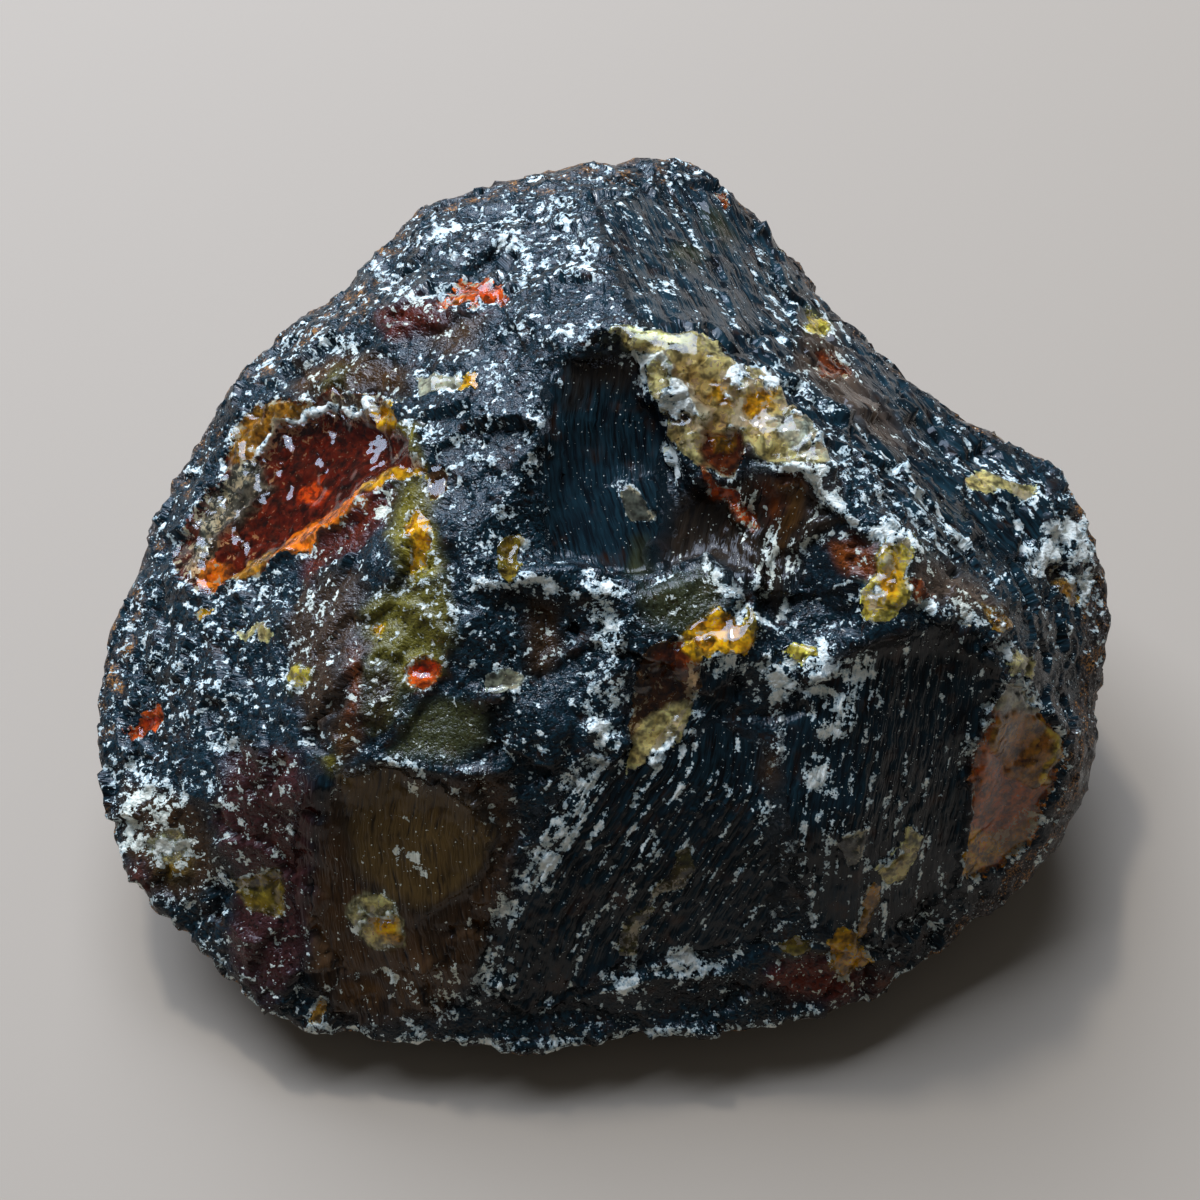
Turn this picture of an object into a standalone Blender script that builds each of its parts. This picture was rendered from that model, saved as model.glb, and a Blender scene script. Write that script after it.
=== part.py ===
"""Raw amber: one rough block of dark amber, freshly broken in front and crusted above, behind and below.

The block is 126 mm wide. +X runs along its longest side, -Y is its broken front, +Z is up, and it rests on
a small flat spot at Z = 0, with the middle of its box over the origin. The lists hold millimetres, which
become metres where a shape is made.

The broken front is laid out the way it is seen by someone who looks down on it: each of its points is
(right, up, height), where right and up are measured on a sheet held square to the line of sight through
SHEET_CENTRE, and height is the point's height above the ground.
"""

import math

import bmesh
import bpy
from mathutils import Matrix, Vector, geometry, noise

MM = 0.001
LOOK_DOWN_DEG = 54
EYE_DISTANCE = 232
SHEET_CENTRE = Vector((0, 0, 25))
GRAIN = 0.95  # side of the cells that the carved block is rebuilt from
SOFTENING_ROUNDS = 3
TRIANGLES = 9800
CRUST_SOFTENING_ROUNDS = 6
CRUST_LUMP = 1.1  # height of the crust's lumps
FRONT_WAVE = 0.45  # height of the gentle waves in front
RESTING_SPOT = (22, 17)  # half the length and half the width of the flat spot that the block rests on
SPOT_REACH = 2.0  # what lies lower than this within the spot is flat
CLEAR_OF_GROUND = 0.3  # how far the rest of the underside stays off the ground

# Where the block's surface turns out of sight, clockwise from its apex.
OUTLINE = (
    (5, 55.5, 47), (7.5, 56.5, 46), (12.5, 55.5, 45), (15.5, 53, 44), (18, 49, 43), (22, 44.5, 42),
    (26.5, 39, 41), (31.5, 34, 40), (37.5, 28.5, 39), (42.5, 24.5, 38), (46, 21.5, 37), (50.5, 20, 37),
    (55.5, 17.5, 36), (59.5, 14.5, 35), (61, 11.5, 34), (63, 5, 30), (64.5, -1.5, 26), (64, -7.5, 23),
    (63, -12.5, 20), (63, -18, 18), (61, -25, 15), (58.5, -30, 12), (55.5, -34, 11), (50.5, -38.5, 10),
    (45, -42.5, 9), (41, -46, 8), (37.5, -48.5, 8), (34, -51, 8), (30, -52, 8), (25, -53.5, 8),
    (17.5, -54.5, 8), (12.5, -55.5, 8), (6.5, -55, 8), (1.5, -55.5, 8), (-5, -57, 7), (-11.5, -57.5, 7),
    (-17.5, -56.5, 7), (-25, -56, 7), (-32.5, -55, 7), (-37.5, -54.5, 7), (-42.5, -52.5, 8),
    (-45, -50.5, 9), (-48.5, -47, 10), (-51.5, -44, 11), (-55.5, -40, 13), (-58.5, -36.5, 14),
    (-61, -31.5, 16), (-62, -26.5, 17), (-63.5, -20, 19), (-64, -14, 20), (-63.5, -10, 21),
    (-62, -5, 23), (-59, 0, 25), (-58, 5, 26), (-56.5, 9, 27), (-54.5, 13, 29), (-52, 17.5, 31),
    (-49.5, 21.5, 33), (-47, 26, 35), (-44, 30, 37), (-40, 34, 39), (-35, 37, 41), (-31.5, 39.5, 42),
    (-29, 42.5, 43), (-25, 46, 44), (-21.5, 49.5, 45), (-16.5, 52, 46), (-10, 54, 47), (-2.5, 54.5, 48),
)

# Ridges, lips and hollows of the broken front. Each is a line that the surface bends along.
FRONT_LINES = {
    "crest": (
        (0, 48.5, 55), (0.5, 41.5, 59), (1.5, 34, 62), (7, 33, 62.5), (12.5, 31.5, 62), (17, 29, 61),
        (20.5, 25.5, 60), (24, 21.5, 59), (27.5, 18, 58), (31.5, 15, 57), (35, 10.5, 55),
        (38.5, 7, 53.5), (44, 3, 50), (50.5, -1.5, 46), (52, -6.5, 43), (51, -11.5, 40.5),
    ),
    "upper_slope": ((12.5, 42.5, 51), (24, 32, 50), (34, 22.5, 48), (44, 12.5, 43), (54, 2.5, 36.5)),
    "shoulder": (
        (46, 19.5, 38.5), (50.5, 15.5, 39), (56.5, 11.5, 37.5), (58.5, 5, 34), (58.5, -5, 29.5),
        (59, -12.5, 26),
    ),
    "top_lip": ((-27, 36.5, 50), (-20, 38, 54), (-12.5, 36.5, 57), (-5, 33.5, 60.5), (1.5, 34, 62)),
    "top_recess": ((-25, 32, 50), (-19, 31.5, 53), (-10, 31, 57)),
    "top_mid": ((-21.5, 45, 48.5), (-15, 42.5, 51.5), (-7.5, 45, 52.5)),
    "left_band": ((-35, 33.5, 44), (-27.5, 32, 48.5), (-20, 29, 53)),
    "pocket_rim": (
        (-44.5, 25, 38.5), (-39, 25.5, 42), (-32.5, 26.5, 45.5), (-25, 25.5, 50), (-21, 21.5, 52.5),
        (-21.5, 14.5, 51), (-27.5, 14, 47.5), (-35, 9.5, 42.5), (-42.5, 5, 37), (-49.5, 1.5, 31.5),
        (-52, 5, 30.5), (-48.5, 15, 34),
    ),
    "pocket_floor": ((-41.5, 20, 38), (-34, 20, 42.5), (-27, 18.5, 47)),
    "left_mid": ((-56.5, -7.5, 26), (-50.5, -2.5, 31), (-41.5, -2.5, 37.5), (-32.5, 0, 43), (-25, 5, 48)),
    "left_low": ((-59, -17.5, 22), (-50.5, -12.5, 29.5), (-40, -12.5, 36), (-31.5, -11.5, 41.5)),
    "left_foot": ((-60.5, -27.5, 18), (-53, -25, 23.5), (-44, -25, 29), (-35, -24, 34)),
    "olive": ((-21.5, 10, 50.5), (-22, 2.5, 47.5), (-21.5, -5, 44), (-20, -12.5, 40.5)),
    "olive_edge": ((-15.5, 10, 52.5), (-16.5, 1.5, 48.5), (-15, -6.5, 45.5), (-12.5, -14, 42)),
    "hollow_left": ((-5, 30, 59), (-8, 22.5, 56.5), (-10.5, 15, 53.5), (-12.5, 7.5, 50)),
    "hollow_wall": ((2.5, 31.5, 59), (5, 25, 54.5), (9, 19, 51), (12.5, 12.5, 49.5)),
    "hollow_floor": ((-5, 12.5, 50), (-5, 6.5, 47.5), (1.5, 3, 45.5), (7, 2, 45), (12, 5, 46.5)),
    "flake_edge": ((7, 25, 58.5), (10, 20, 56.5), (11.5, 15, 54), (17, 12.5, 52), (19, 9, 50.5)),
    "ledge": (
        (-15, 2.5, 48.5), (-7.5, 3, 48.5), (-2.5, 2, 48.5), (1.5, 0.5, 47.5), (5, -0.5, 47.5),
        (9, 1, 48.5), (12.5, 3, 49.5), (18, 2.5, 50),
    ),
    "under_ledge": ((-12.5, -2, 45.5), (-6.5, -3, 44.5), (-1.5, -5, 43.5)),
    "boss": ((6.5, -5, 46.5), (12.5, -7, 46), (18, -5, 47), (19, 0, 48.5)),
    "boss_foot": ((5, -12.5, 40.5), (8, -17, 38.5), (12, -18, 38), (15.5, -12.5, 41)),
    "second_rim": ((12.5, 18, 55.5), (20, 19.5, 57.5), (25, 16.5, 56.5), (31.5, 11, 55.5), (33.5, 7, 54)),
    "second_floor": ((22, 7.5, 50), (25, 1.5, 47.5), (22.5, -3, 46), (27, -5, 45.5), (31.5, 0, 48.5)),
    "knob": ((36, 7, 54.5), (32, 0, 52), (33, -5, 49.5), (38.5, -2.5, 51.5)),
    "brow": ((38.5, -2.5, 51.5), (44, -2, 49), (48.5, -5, 46), (51, -11.5, 40.5)),
    "black_top": ((36.5, -7, 45.5), (42.5, -6.5, 44), (48.5, -12.5, 38.5)),
    "black_mid": ((34, -17.5, 39), (41.5, -19, 34.5), (47.5, -22.5, 29.5)),
    "black_low": ((32.5, -29, 31), (40, -31.5, 24.5), (43.5, -33.5, 20)),
    "arris": ((51, -11.5, 40.5), (48, -22.5, 32), (46, -32.5, 20.5), (44, -39, 13)),
    "right_pocket": (
        (51, -11.5, 40.5), (58, -15, 31.5), (60, -20.5, 26), (57, -29, 18.5), (50.5, -36, 12.5),
        (46, -32.5, 20.5),
    ),
    "right_floor": ((52, -17.5, 31.5), (51.5, -24, 26), (49, -30, 20)),
    "mottled": ((20.5, -7, 45), (29.5, -7, 46.5), (31.5, -15, 41.5), (25, -20, 37), (20, -15, 40)),
    "step": ((-32, -22, 35), (-25, -19.5, 37.5), (-20, -21, 37.5), (-14, -22.5, 37), (-7.5, -20.5, 37.5)),
    "below_step": ((-31.5, -25, 31.5), (-24, -24.5, 33), (-15, -26, 33.5)),
    "plate_edge": ((-14, -22.5, 37), (-12.5, -29, 31), (-15, -37.5, 24), (-20, -46, 16.5)),
    "plate": ((-34, -34, 24.5), (-25, -35, 25.5), (-34, -44, 16), (-26, -45, 16)),
    "streak": (
        (1.5, -2.5, 45.5), (1, -10, 42.5), (0, -17.5, 39), (-3.5, -27.5, 32.5), (-9, -36, 26),
        (-14, -45, 17.5),
    ),
    "fan": ((10, -25, 33.5), (6.5, -34, 26.5), (1.5, -42.5, 18.5)),
    "fan_right": ((21.5, -27.5, 32), (19, -35, 25), (15, -41.5, 19)),
    "foot_ridge": (
        (-7.5, -51.5, 11.5), (-1.5, -49, 13.5), (5, -47.5, 14), (12.5, -45.5, 15.5), (25, -44, 16.5),
        (31.5, -42.5, 17), (38.5, -42.5, 13),
    ),
    "foot": (
        (-22.5, -53, 9.5), (-10, -54.5, 8.5), (5, -52, 9.5), (17.5, -50.5, 10.5), (29, -48.5, 11),
        (37.5, -45.5, 10),
    ),
    "left_foot_low": ((-50.5, -35, 17), (-42.5, -37.5, 18.5), (-44, -45, 13), (-36.5, -51, 10)),
    "notch": ((-52, -41, 13.5), (-48.5, -42.5, 12.5), (-46, -45, 12)),
}

# The crusted back and the underside, as corners (x, y, z).
BACK_BULGE = (
    (-14, 60, 24),
    (12, 63, 28),
    (36, 46, 20),
    (-37, 46, 20),
    (56, 20, 16),
    (-57, 22, 13),
)
UNDERSIDE = (
    (-30, -39, 0),
    (10, -43, 0),
    (34, -35, 0),
    (46, -12, 0),
    (42, 14, 0),
    (22, 40, 0),
    (-12, 44, 0),
    (-36, 24, 0),
    (-47, -4, 0),
    (-43, -25, 0),
)

# Shell-shaped breaks in the back, the ends and the underside: the middle of the mouth, the way it faces
# (degrees round from the front and up), half its length and half its width, how far its length is turned
# anticlockwise from level, and its depth.
BREAKS = {
    "pit_in_the_top": ((-15, 34, 52), (180, 80), (5, 4), 20, 3.0),
    "pit_by_the_edge": ((-27, 36, 47), (200, 70), (4, 3), 60, 2.5),
    "back_left": ((-31, 51, 28), (205, 10), (17, 12), 20, 5.0),
    "back_right": ((36, 48, 24), (145, 8), (16, 11), -25, 5.0),
    "back_high": ((4, 62, 36), (176, 30), (13, 7), 8, 2.5),
    "back_low": ((0, 58, 12), (182, -25), (15, 8), 5, 3.5),
    "right_end": ((61, 0, 14), (92, -18), (13, 8), 10, 3.5),
    "left_end": ((-61, -2, 11), (-95, -20), (14, 8), -8, 3.0),
    "under_right": ((33, 17, 0), (0, -90), (14, 9), 50, 2.2),
    "under_left": ((-34, 12, 0), (0, -90), (13, 9), 100, 2.0),
    "under_front": ((-8, -31, 0), (0, -90), (15, 7), 0, 1.6),
}

for old in list(bpy.data.objects):
    bpy.data.objects.remove(old, do_unlink=True)

look_down = math.radians(LOOK_DOWN_DEG)
sight = Vector((0, math.cos(look_down), -math.sin(look_down)))
sheet_up = Vector((0, math.sin(look_down), math.cos(look_down)))
eye = SHEET_CENTRE - sight * EYE_DISTANCE


def seen(right, up, height):
    """The place that is seen at (right, up) on the sheet and is this high above the ground."""
    ray = SHEET_CENTRE + Vector((right, 0, 0)) + sheet_up * up - eye
    return eye + ray * (height - eye.z) / ray.z


def facing(round_deg, up_deg):
    """The unit vector that points round_deg from the front, anticlockwise from above, and up_deg up."""
    turn, rise = math.radians(round_deg), math.radians(up_deg)
    return Vector((math.sin(turn) * math.cos(rise), -math.cos(turn) * math.cos(rise), math.sin(rise)))


def add_object(name, form, helper=False):
    mesh = bpy.data.meshes.new(name)
    form.to_mesh(mesh)
    form.free()
    made = bpy.data.objects.new(name, mesh)
    bpy.context.scene.collection.objects.link(made)
    made.hide_render = helper
    made.display_type = "WIRE" if helper else "TEXTURED"
    return made


def front_points():
    """Every point of the front on the sheet, with its place, and the lines between them."""
    flat, places, lines = [], [], []
    for line in (OUTLINE + OUTLINE[:1], *FRONT_LINES.values()):
        first = len(flat)
        flat += [Vector(point[:2]) for point in line]
        places += [seen(*point) for point in line]
        lines += [(k, k + 1) for k in range(first, len(flat) - 1)]
    return flat, places, lines


def whole_blank():
    """The block before it was broken: the hull of all its corners."""
    form = bmesh.new()
    for corner in (*front_points()[1], *map(Vector, BACK_BULGE), *map(Vector, UNDERSIDE)):
        form.verts.new(corner * MM)
    hull = bmesh.ops.convex_hull(form, input=form.verts)
    bmesh.ops.delete(form, geom=hull["geom_interior"], context="VERTS")
    bmesh.ops.recalc_face_normals(form, faces=form.faces)
    return add_object("blank", form, helper=True)


def front_mass():
    """Everything that lies behind the broken front as it is seen. The blank is cut to it."""
    flat, places, lines = front_points()
    corners, _, faces, origins, _, _ = geometry.delaunay_2d_cdt(flat, lines, [], 1, 1e-4)
    form = bmesh.new()
    made = [form.verts.new(places[origin[0]] * MM) for origin in origins]
    for face in faces:
        form.faces.new([made[k] for k in face])
    far = bmesh.ops.extrude_face_region(form, geom=form.faces[:])
    pushed = [item for item in far["geom"] if isinstance(item, bmesh.types.BMVert)]
    for point in pushed:
        point.co = eye * MM + (point.co - eye * MM) * 2
    bmesh.ops.recalc_face_normals(form, faces=form.faces)
    return add_object("front_mass", form, helper=True)


def break_cutter(name, middle, way, half_size, turn_deg, depth):
    """An uneven egg that stands half its own height out of the mouth, so that it cuts to the depth asked."""
    out = facing(*way)
    level = Vector((0, 0, 1)).cross(out)
    level = level.normalized() if level.length > 1e-3 else Vector((1, 0, 0))
    frame = Matrix((level, out.cross(level), out)).transposed().to_4x4()
    widen = 1 / math.sqrt(0.75)
    sizes = Matrix.Diagonal((half_size[0] * widen, half_size[1] * widen, 2 * depth, 1))
    centre = Matrix.Translation(Vector(middle) + out * depth)
    spin = Matrix.Rotation(math.radians(turn_deg), 4, "Z")
    form = bmesh.new()
    bmesh.ops.create_icosphere(form, subdivisions=4, radius=1)
    for point in form.verts:
        point.co *= 1 + 0.22 * noise.noise(point.co * 1.6 + Vector(middle))
    form.transform(Matrix.Scale(MM, 4) @ centre @ frame @ spin @ sizes)
    return add_object(name, form, helper=True)


blank = whole_blank()
cut_front = blank.modifiers.new("broken_front", "BOOLEAN")
cut_front.operation = "INTERSECT"
cut_front.object = front_mass()
for name, shape in BREAKS.items():
    cut = blank.modifiers.new(name, "BOOLEAN")
    cut.operation = "DIFFERENCE"
    cut.object = break_cutter(name, *shape)
rebuild = blank.modifiers.new("rebuild", "REMESH")
rebuild.mode = "VOXEL"
rebuild.voxel_size = GRAIN * MM
soften = blank.modifiers.new("soften", "SMOOTH")
soften.iterations = SOFTENING_ROUNDS


def crust_share(place, out):
    """1 where the old crust is left, 0 on the fresh break in front, for a place in millimetres."""
    behind = 2 * (out.y - 0.35 * out.z) - 0.2
    by_the_top_edge = (place.y - 38) / 12
    below = 0.6 - out.z - 0.06 * place.z
    return min(max(behind, by_the_top_edge, below, 0), 1)


def unevenness(place, out):
    """How far the surface lies off its smooth form: the crust's lumps, or gentle waves on the break."""
    crust = crust_share(place, out)
    lumps = noise.fractal(place / 9, 1.0, 2.1, 3)
    if out.z < -0.8:
        lumps = -abs(lumps)
    waves = noise.noise(place / 11 + Vector((7, 3, 1)))
    return crust * CRUST_LUMP * lumps + (1 - crust) * FRONT_WAVE * waves


def ground_height(place):
    """The lowest that the block may reach above this place, or 0 where it rests."""
    round_spot = math.hypot(place.x / RESTING_SPOT[0], place.y / RESTING_SPOT[1])
    return 0 if round_spot < 1 and place.z < SPOT_REACH else CLEAR_OF_GROUND


bpy.context.view_layer.update()
graph = bpy.context.evaluated_depsgraph_get()
skin = bmesh.new()
skin.from_mesh(bpy.data.meshes.new_from_object(blank.evaluated_get(graph)))
skin.normal_update()
crisp = [(point.co.copy(), crust_share(point.co / MM, point.normal)) for point in skin.verts]
every_way = {"use_axis_x": True, "use_axis_y": True, "use_axis_z": True}
for _ in range(CRUST_SOFTENING_ROUNDS):
    bmesh.ops.smooth_vert(skin, verts=skin.verts, factor=0.5, **every_way)
for point, (place, crust) in zip(skin.verts, crisp):
    point.co = place.lerp(point.co, crust)
skin.normal_update()
moved = [point.co / MM + point.normal * unevenness(point.co / MM, point.normal) for point in skin.verts]
for point, place in zip(skin.verts, moved):
    floor = ground_height(place)
    place.z = 0 if floor == 0 else max(place.z, floor)
    point.co = place * MM
low = [min(point.co[axis] for point in skin.verts) for axis in range(2)]
high = [max(point.co[axis] for point in skin.verts) for axis in range(2)]
middle = Vector((low[0] + high[0], low[1] + high[1], 0)) / 2
bmesh.ops.translate(skin, verts=skin.verts, vec=-middle)
bmesh.ops.triangulate(skin, faces=skin.faces)

block = add_object("raw_amber", skin)
thin_out = block.modifiers.new("thin_out", "DECIMATE")
thin_out.ratio = TRIANGLES / len(block.data.polygons)

amber = bpy.data.materials.new("dark_amber")
amber.use_nodes = True
surface = amber.node_tree.nodes["Principled BSDF"]
surface.inputs["Base Color"].default_value = (0.018, 0.028, 0.036, 1)
surface.inputs["Roughness"].default_value = 0.18
surface.inputs["IOR"].default_value = 1.54
surface.inputs["Metallic"].default_value = 0
block.data.materials.append(amber)
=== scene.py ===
"""A lump of raw amber: the finish of the one broken block, laid over its solid in the frame's own place."""
import math

import bmesh
import bpy
import numpy as np
from mathutils import Euler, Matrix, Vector, noise


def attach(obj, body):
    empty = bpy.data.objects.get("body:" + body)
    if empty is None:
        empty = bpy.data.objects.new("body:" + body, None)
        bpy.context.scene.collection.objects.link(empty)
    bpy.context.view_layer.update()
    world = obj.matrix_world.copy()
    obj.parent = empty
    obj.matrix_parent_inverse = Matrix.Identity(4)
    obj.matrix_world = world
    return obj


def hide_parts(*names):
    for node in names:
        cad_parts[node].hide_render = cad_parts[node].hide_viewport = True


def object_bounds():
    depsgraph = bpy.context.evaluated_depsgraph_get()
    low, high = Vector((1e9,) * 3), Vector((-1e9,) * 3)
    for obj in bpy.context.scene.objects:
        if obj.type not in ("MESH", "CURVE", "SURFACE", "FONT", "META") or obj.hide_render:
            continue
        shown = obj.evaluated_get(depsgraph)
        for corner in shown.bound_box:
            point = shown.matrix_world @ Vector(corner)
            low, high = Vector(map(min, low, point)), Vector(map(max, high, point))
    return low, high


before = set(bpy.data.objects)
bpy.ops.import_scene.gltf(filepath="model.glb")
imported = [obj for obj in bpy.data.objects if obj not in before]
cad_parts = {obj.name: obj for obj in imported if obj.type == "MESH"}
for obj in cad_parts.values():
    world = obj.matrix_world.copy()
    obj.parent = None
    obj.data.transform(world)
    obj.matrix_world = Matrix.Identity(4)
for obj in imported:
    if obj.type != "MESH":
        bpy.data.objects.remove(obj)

SOLID_LOW, SOLID_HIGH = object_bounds()
MM = 0.001


# The view: a hand-held camera over the lump, looking down on its broken front. Places on the front are
# given in millimetres right and up, on a sheet that faces this camera and passes through its target.
TARGET = Vector((-0.4, -5.1, 25)) * MM
EYE_DISTANCE = 232 * MM
LOOK_DOWN = math.radians(54)
FIELD_OF_VIEW = math.radians(36)
SIGHT = Vector((0, math.cos(LOOK_DOWN), -math.sin(LOOK_DOWN)))
SHEET_UP = Vector((0, math.sin(LOOK_DOWN), math.cos(LOOK_DOWN)))
EYE = TARGET - SIGHT * EYE_DISTANCE

scene = bpy.context.scene
scene.view_settings.view_transform = "Standard"
camera = bpy.data.objects.new("camera", bpy.data.cameras.new("camera"))
scene.collection.objects.link(camera)
camera.data.sensor_width = 36
camera.data.angle = FIELD_OF_VIEW
camera.data.clip_start = 0.01
camera.data.clip_end = 10
camera.location = EYE
camera.rotation_euler = Euler((math.pi / 2 - LOOK_DOWN, 0, 0))
scene.camera = camera


# The studio: a pale floor under a wide window light from behind and the left, and a weak, even light
# all round. The window is cool daylight, so that faces which lie flat shine blue-grey, as the real ones
# do.
def linear(colour):
    """The linear red, green, blue and alpha of an sRGB hex colour."""
    parts = [int(colour[i:i + 2], 16) / 255 for i in (1, 3, 5)]
    return tuple(c / 12.92 if c <= 0.04045 else ((c + 0.055) / 1.055) ** 2.4 for c in parts) + (1.0,)


def add_node(tree, kind, settings=None, **links):
    """Adds one shader node: settings by attribute name, links by input name, each a socket or a value."""
    node = tree.nodes.new(kind)
    for name, value in (settings or {}).items():
        setattr(node, name, value)
    for name, value in links.items():
        place = int(name[1:]) if name[0] == "i" and name[1:].isdigit() else name.replace("_", " ")
        if isinstance(value, bpy.types.NodeSocket):
            tree.links.new(value, node.inputs[place])
        else:
            node.inputs[place].default_value = value
    return node


def new_material(name):
    """A node material with an empty tree."""
    material = bpy.data.materials.new(name)
    material.use_nodes = True
    material.node_tree.nodes.clear()
    return material


def softbox(name, place, size, power, colour):
    """A rectangular area light that looks at the lump."""
    lamp = bpy.data.lights.new(name, "AREA")
    lamp.shape = "RECTANGLE"
    lamp.size, lamp.size_y = size
    lamp.energy = power
    lamp.color = linear(colour)[:3]
    thing = bpy.data.objects.new(name, lamp)
    scene.collection.objects.link(thing)
    thing.location = place
    thing.rotation_euler = (TARGET - Vector(place)).to_track_quat("-Z", "Y").to_euler()


softbox("window_light", (-0.42, 0.88, 1.18), (1.5, 1.3), 50, "#D2E3FF")
softbox("sparkle_light", (-0.3, 0.7, 1.2), (0.12, 0.12), 5.0, "#FFFFFF")

world = bpy.data.worlds.new("studio")
scene.world = world
world.use_nodes = True
world.node_tree.nodes["Background"].inputs["Color"].default_value = linear("#8E9296")
world.node_tree.nodes["Background"].inputs["Strength"].default_value = 0.3

floor_mesh = bpy.data.meshes.new("floor")
form = bmesh.new()
bmesh.ops.create_grid(form, x_segments=1, y_segments=1, size=6)
form.to_mesh(floor_mesh)
form.free()
floor = bpy.data.objects.new("floor", floor_mesh)
scene.collection.objects.link(floor)
paper = new_material("pale_matt_paper")
floor_shader = add_node(paper.node_tree, "ShaderNodeBsdfPrincipled", Base_Color=linear("#B0A18E"),
                        Roughness=0.75)
add_node(paper.node_tree, "ShaderNodeOutputMaterial", Surface=floor_shader.outputs[0])
floor.data.materials.append(paper)


# The block of raw amber, one piece: dark resin with clear flakes in it, struck off a larger lump, with
# the old crust of the ground left on its outside. Its solid's own form is rounded from facets to a fine
# skin, and that skin takes the breaks, steps and ripples.
GRAIN = 0.85 * MM
AMBER_IOR = 1.54


def settled(thing):
    """Works the thing's modifiers into its mesh, so that none is left on it."""
    graph = bpy.context.evaluated_depsgraph_get()
    mesh = bpy.data.meshes.new_from_object(thing.evaluated_get(graph))
    thing.modifiers.clear()
    thing.data = mesh


block = bpy.data.objects.new("amber_block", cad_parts["raw_amber"].data.copy())
scene.collection.objects.link(block)
block.data.materials.clear()
form = bmesh.new()
form.from_mesh(block.data)
bmesh.ops.remove_doubles(form, verts=form.verts, dist=0.002 * MM)
form.to_mesh(block.data)
form.free()
rounding = block.modifiers.new("rounding", "SUBSURF")
rounding.levels = rounding.render_levels = 1
skinning = block.modifiers.new("skinning", "REMESH")
skinning.mode = "VOXEL"
skinning.voxel_size = GRAIN
settled(block)

# The broken front is looked at closely, so its skin is twice as fine.
TOWARDS_EYE = 0.16
form = bmesh.new()
form.from_mesh(block.data)
form.normal_update()
near_faces = {face for face in form.faces
              if face.normal.dot((EYE - face.calc_center_median()).normalized()) > TOWARDS_EYE}
near_edges = [edge for edge in form.edges if all(face in near_faces for face in edge.link_faces)]
bmesh.ops.subdivide_edges(form, edges=near_edges, cuts=1, use_grid_fill=True)
bmesh.ops.triangulate(form, faces=[face for face in form.faces if len(face.verts) > 4])
form.to_mesh(block.data)
form.free()


def skin(thing):
    """The places of the thing's vertices and their outward normals, as two arrays."""
    places = np.empty(len(thing.data.vertices) * 3)
    thing.data.vertices.foreach_get("co", places)
    normals = np.empty(len(thing.data.vertices) * 3)
    thing.data.vertex_normals.foreach_get("vector", normals)
    return places.reshape(-1, 3), normals.reshape(-1, 3)


ends = np.empty(len(block.data.edges) * 2, int)
block.data.edges.foreach_get("vertices", ends)
ends = ends.reshape(-1, 2)
neighbours = np.bincount(ends.ravel(), minlength=len(block.data.vertices))


def eased(values, rounds):
    """The values, one row for each vertex, averaged with their neighbours' so many times."""
    values = np.array(values, float)
    rows = values if values.ndim == 2 else values[:, None]
    for _ in range(rounds):
        for column in rows.T:
            around = np.bincount(ends[:, 0], column[ends[:, 1]], len(column))
            around += np.bincount(ends[:, 1], column[ends[:, 0]], len(column))
            column[:] = column / 2 + around / neighbours / 2
    return values


def ramp(values, low, high):
    """0 below low and 1 above high, with a smooth turn between them."""
    share = np.clip((values - low) / (high - low), 0, 1)
    return share * share * (3 - 2 * share)


# The fine skin's own small stairs are smoothed away.
STAIR_ROUNDS = 3
places = eased(skin(block)[0], STAIR_ROUNDS)
block.data.vertices.foreach_set("co", places.ravel())
places, normals = skin(block)


# Crisp ridges: where the form stands out from its own average, its skin is pushed out further.
def standing_out(rounds):
    """How far each vertex stands out from the form averaged over so many rounds, in metres."""
    return ((places - eased(places, rounds)) * normals).sum(axis=1)


CRISPING, CRISP_ROUNDS = 0.9, 10
places += normals * (CRISPING * standing_out(CRISP_ROUNDS))[:, None]


# Broken skin: the resin parts in flat faces, each tipped its own way, with a small step to the next.
HASH_WAY, HASH_TURN, HASH_SPREAD = np.array((12.9, 78.2, 37.7)), np.array((1, -3, 5)), 43758.5
FACE_STEP = 0.12


def nearest_seed(points, size, seed):
    """For each point: the way from the nearest of seeds strewn at this spacing, and three lots it drew."""
    in_cells = points / size
    home = np.floor(in_cells)
    best = np.full(len(points), 1e9)
    way, lots = np.zeros((len(points), 3)), np.zeros((len(points), 3))
    for step in np.ndindex(3, 3, 3):
        cell = home + np.array(step) - 1
        draws = np.stack([np.sin(cell @ (HASH_WAY + k * HASH_TURN) + seed) * HASH_SPREAD for k in range(6)])
        draws = (draws - np.floor(draws)).T
        off = in_cells - cell - draws[:, :3]
        away = (off * off).sum(axis=1)
        nearer = away < best
        best = np.where(nearer, away, best)
        way[nearer], lots[nearer] = off[nearer], draws[nearer, 3:]
    return way * size, lots


def tipped_faces(points, size, slope, seed):
    """How far each point stands out if the skin breaks in faces of this size, tipped up to this slope."""
    way, lots = nearest_seed(points, size, seed)
    return ((lots - 0.5) * 2 * slope * way).sum(axis=1) + (lots[:, 0] - 0.5) * size * FACE_STEP


# The front's own sheet, in millimetres, and how squarely each place faces the eye. All outlines on it
# wander a little, so that no edge of a break runs smooth.
NOISE_SHIFT, NOISE_FADE, NOISE_FINER = (17.3, 5.1, 9.7), 0.9, 2.1
FRONT_STARTS, FRONT_FULL = 0.05, 0.3
WANDER_SIZE, WANDER_REACH = 3.2 * MM, 0.9


def on_sheet(points):
    """Where each point lies on the sheet, right and up from the target in millimetres."""
    out = points - np.array(EYE)
    reach = EYE_DISTANCE / MM / (out @ np.array(SIGHT))
    return np.stack([out[:, 0] * reach, (out @ np.array(SHEET_UP)) * reach], axis=1)


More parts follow.
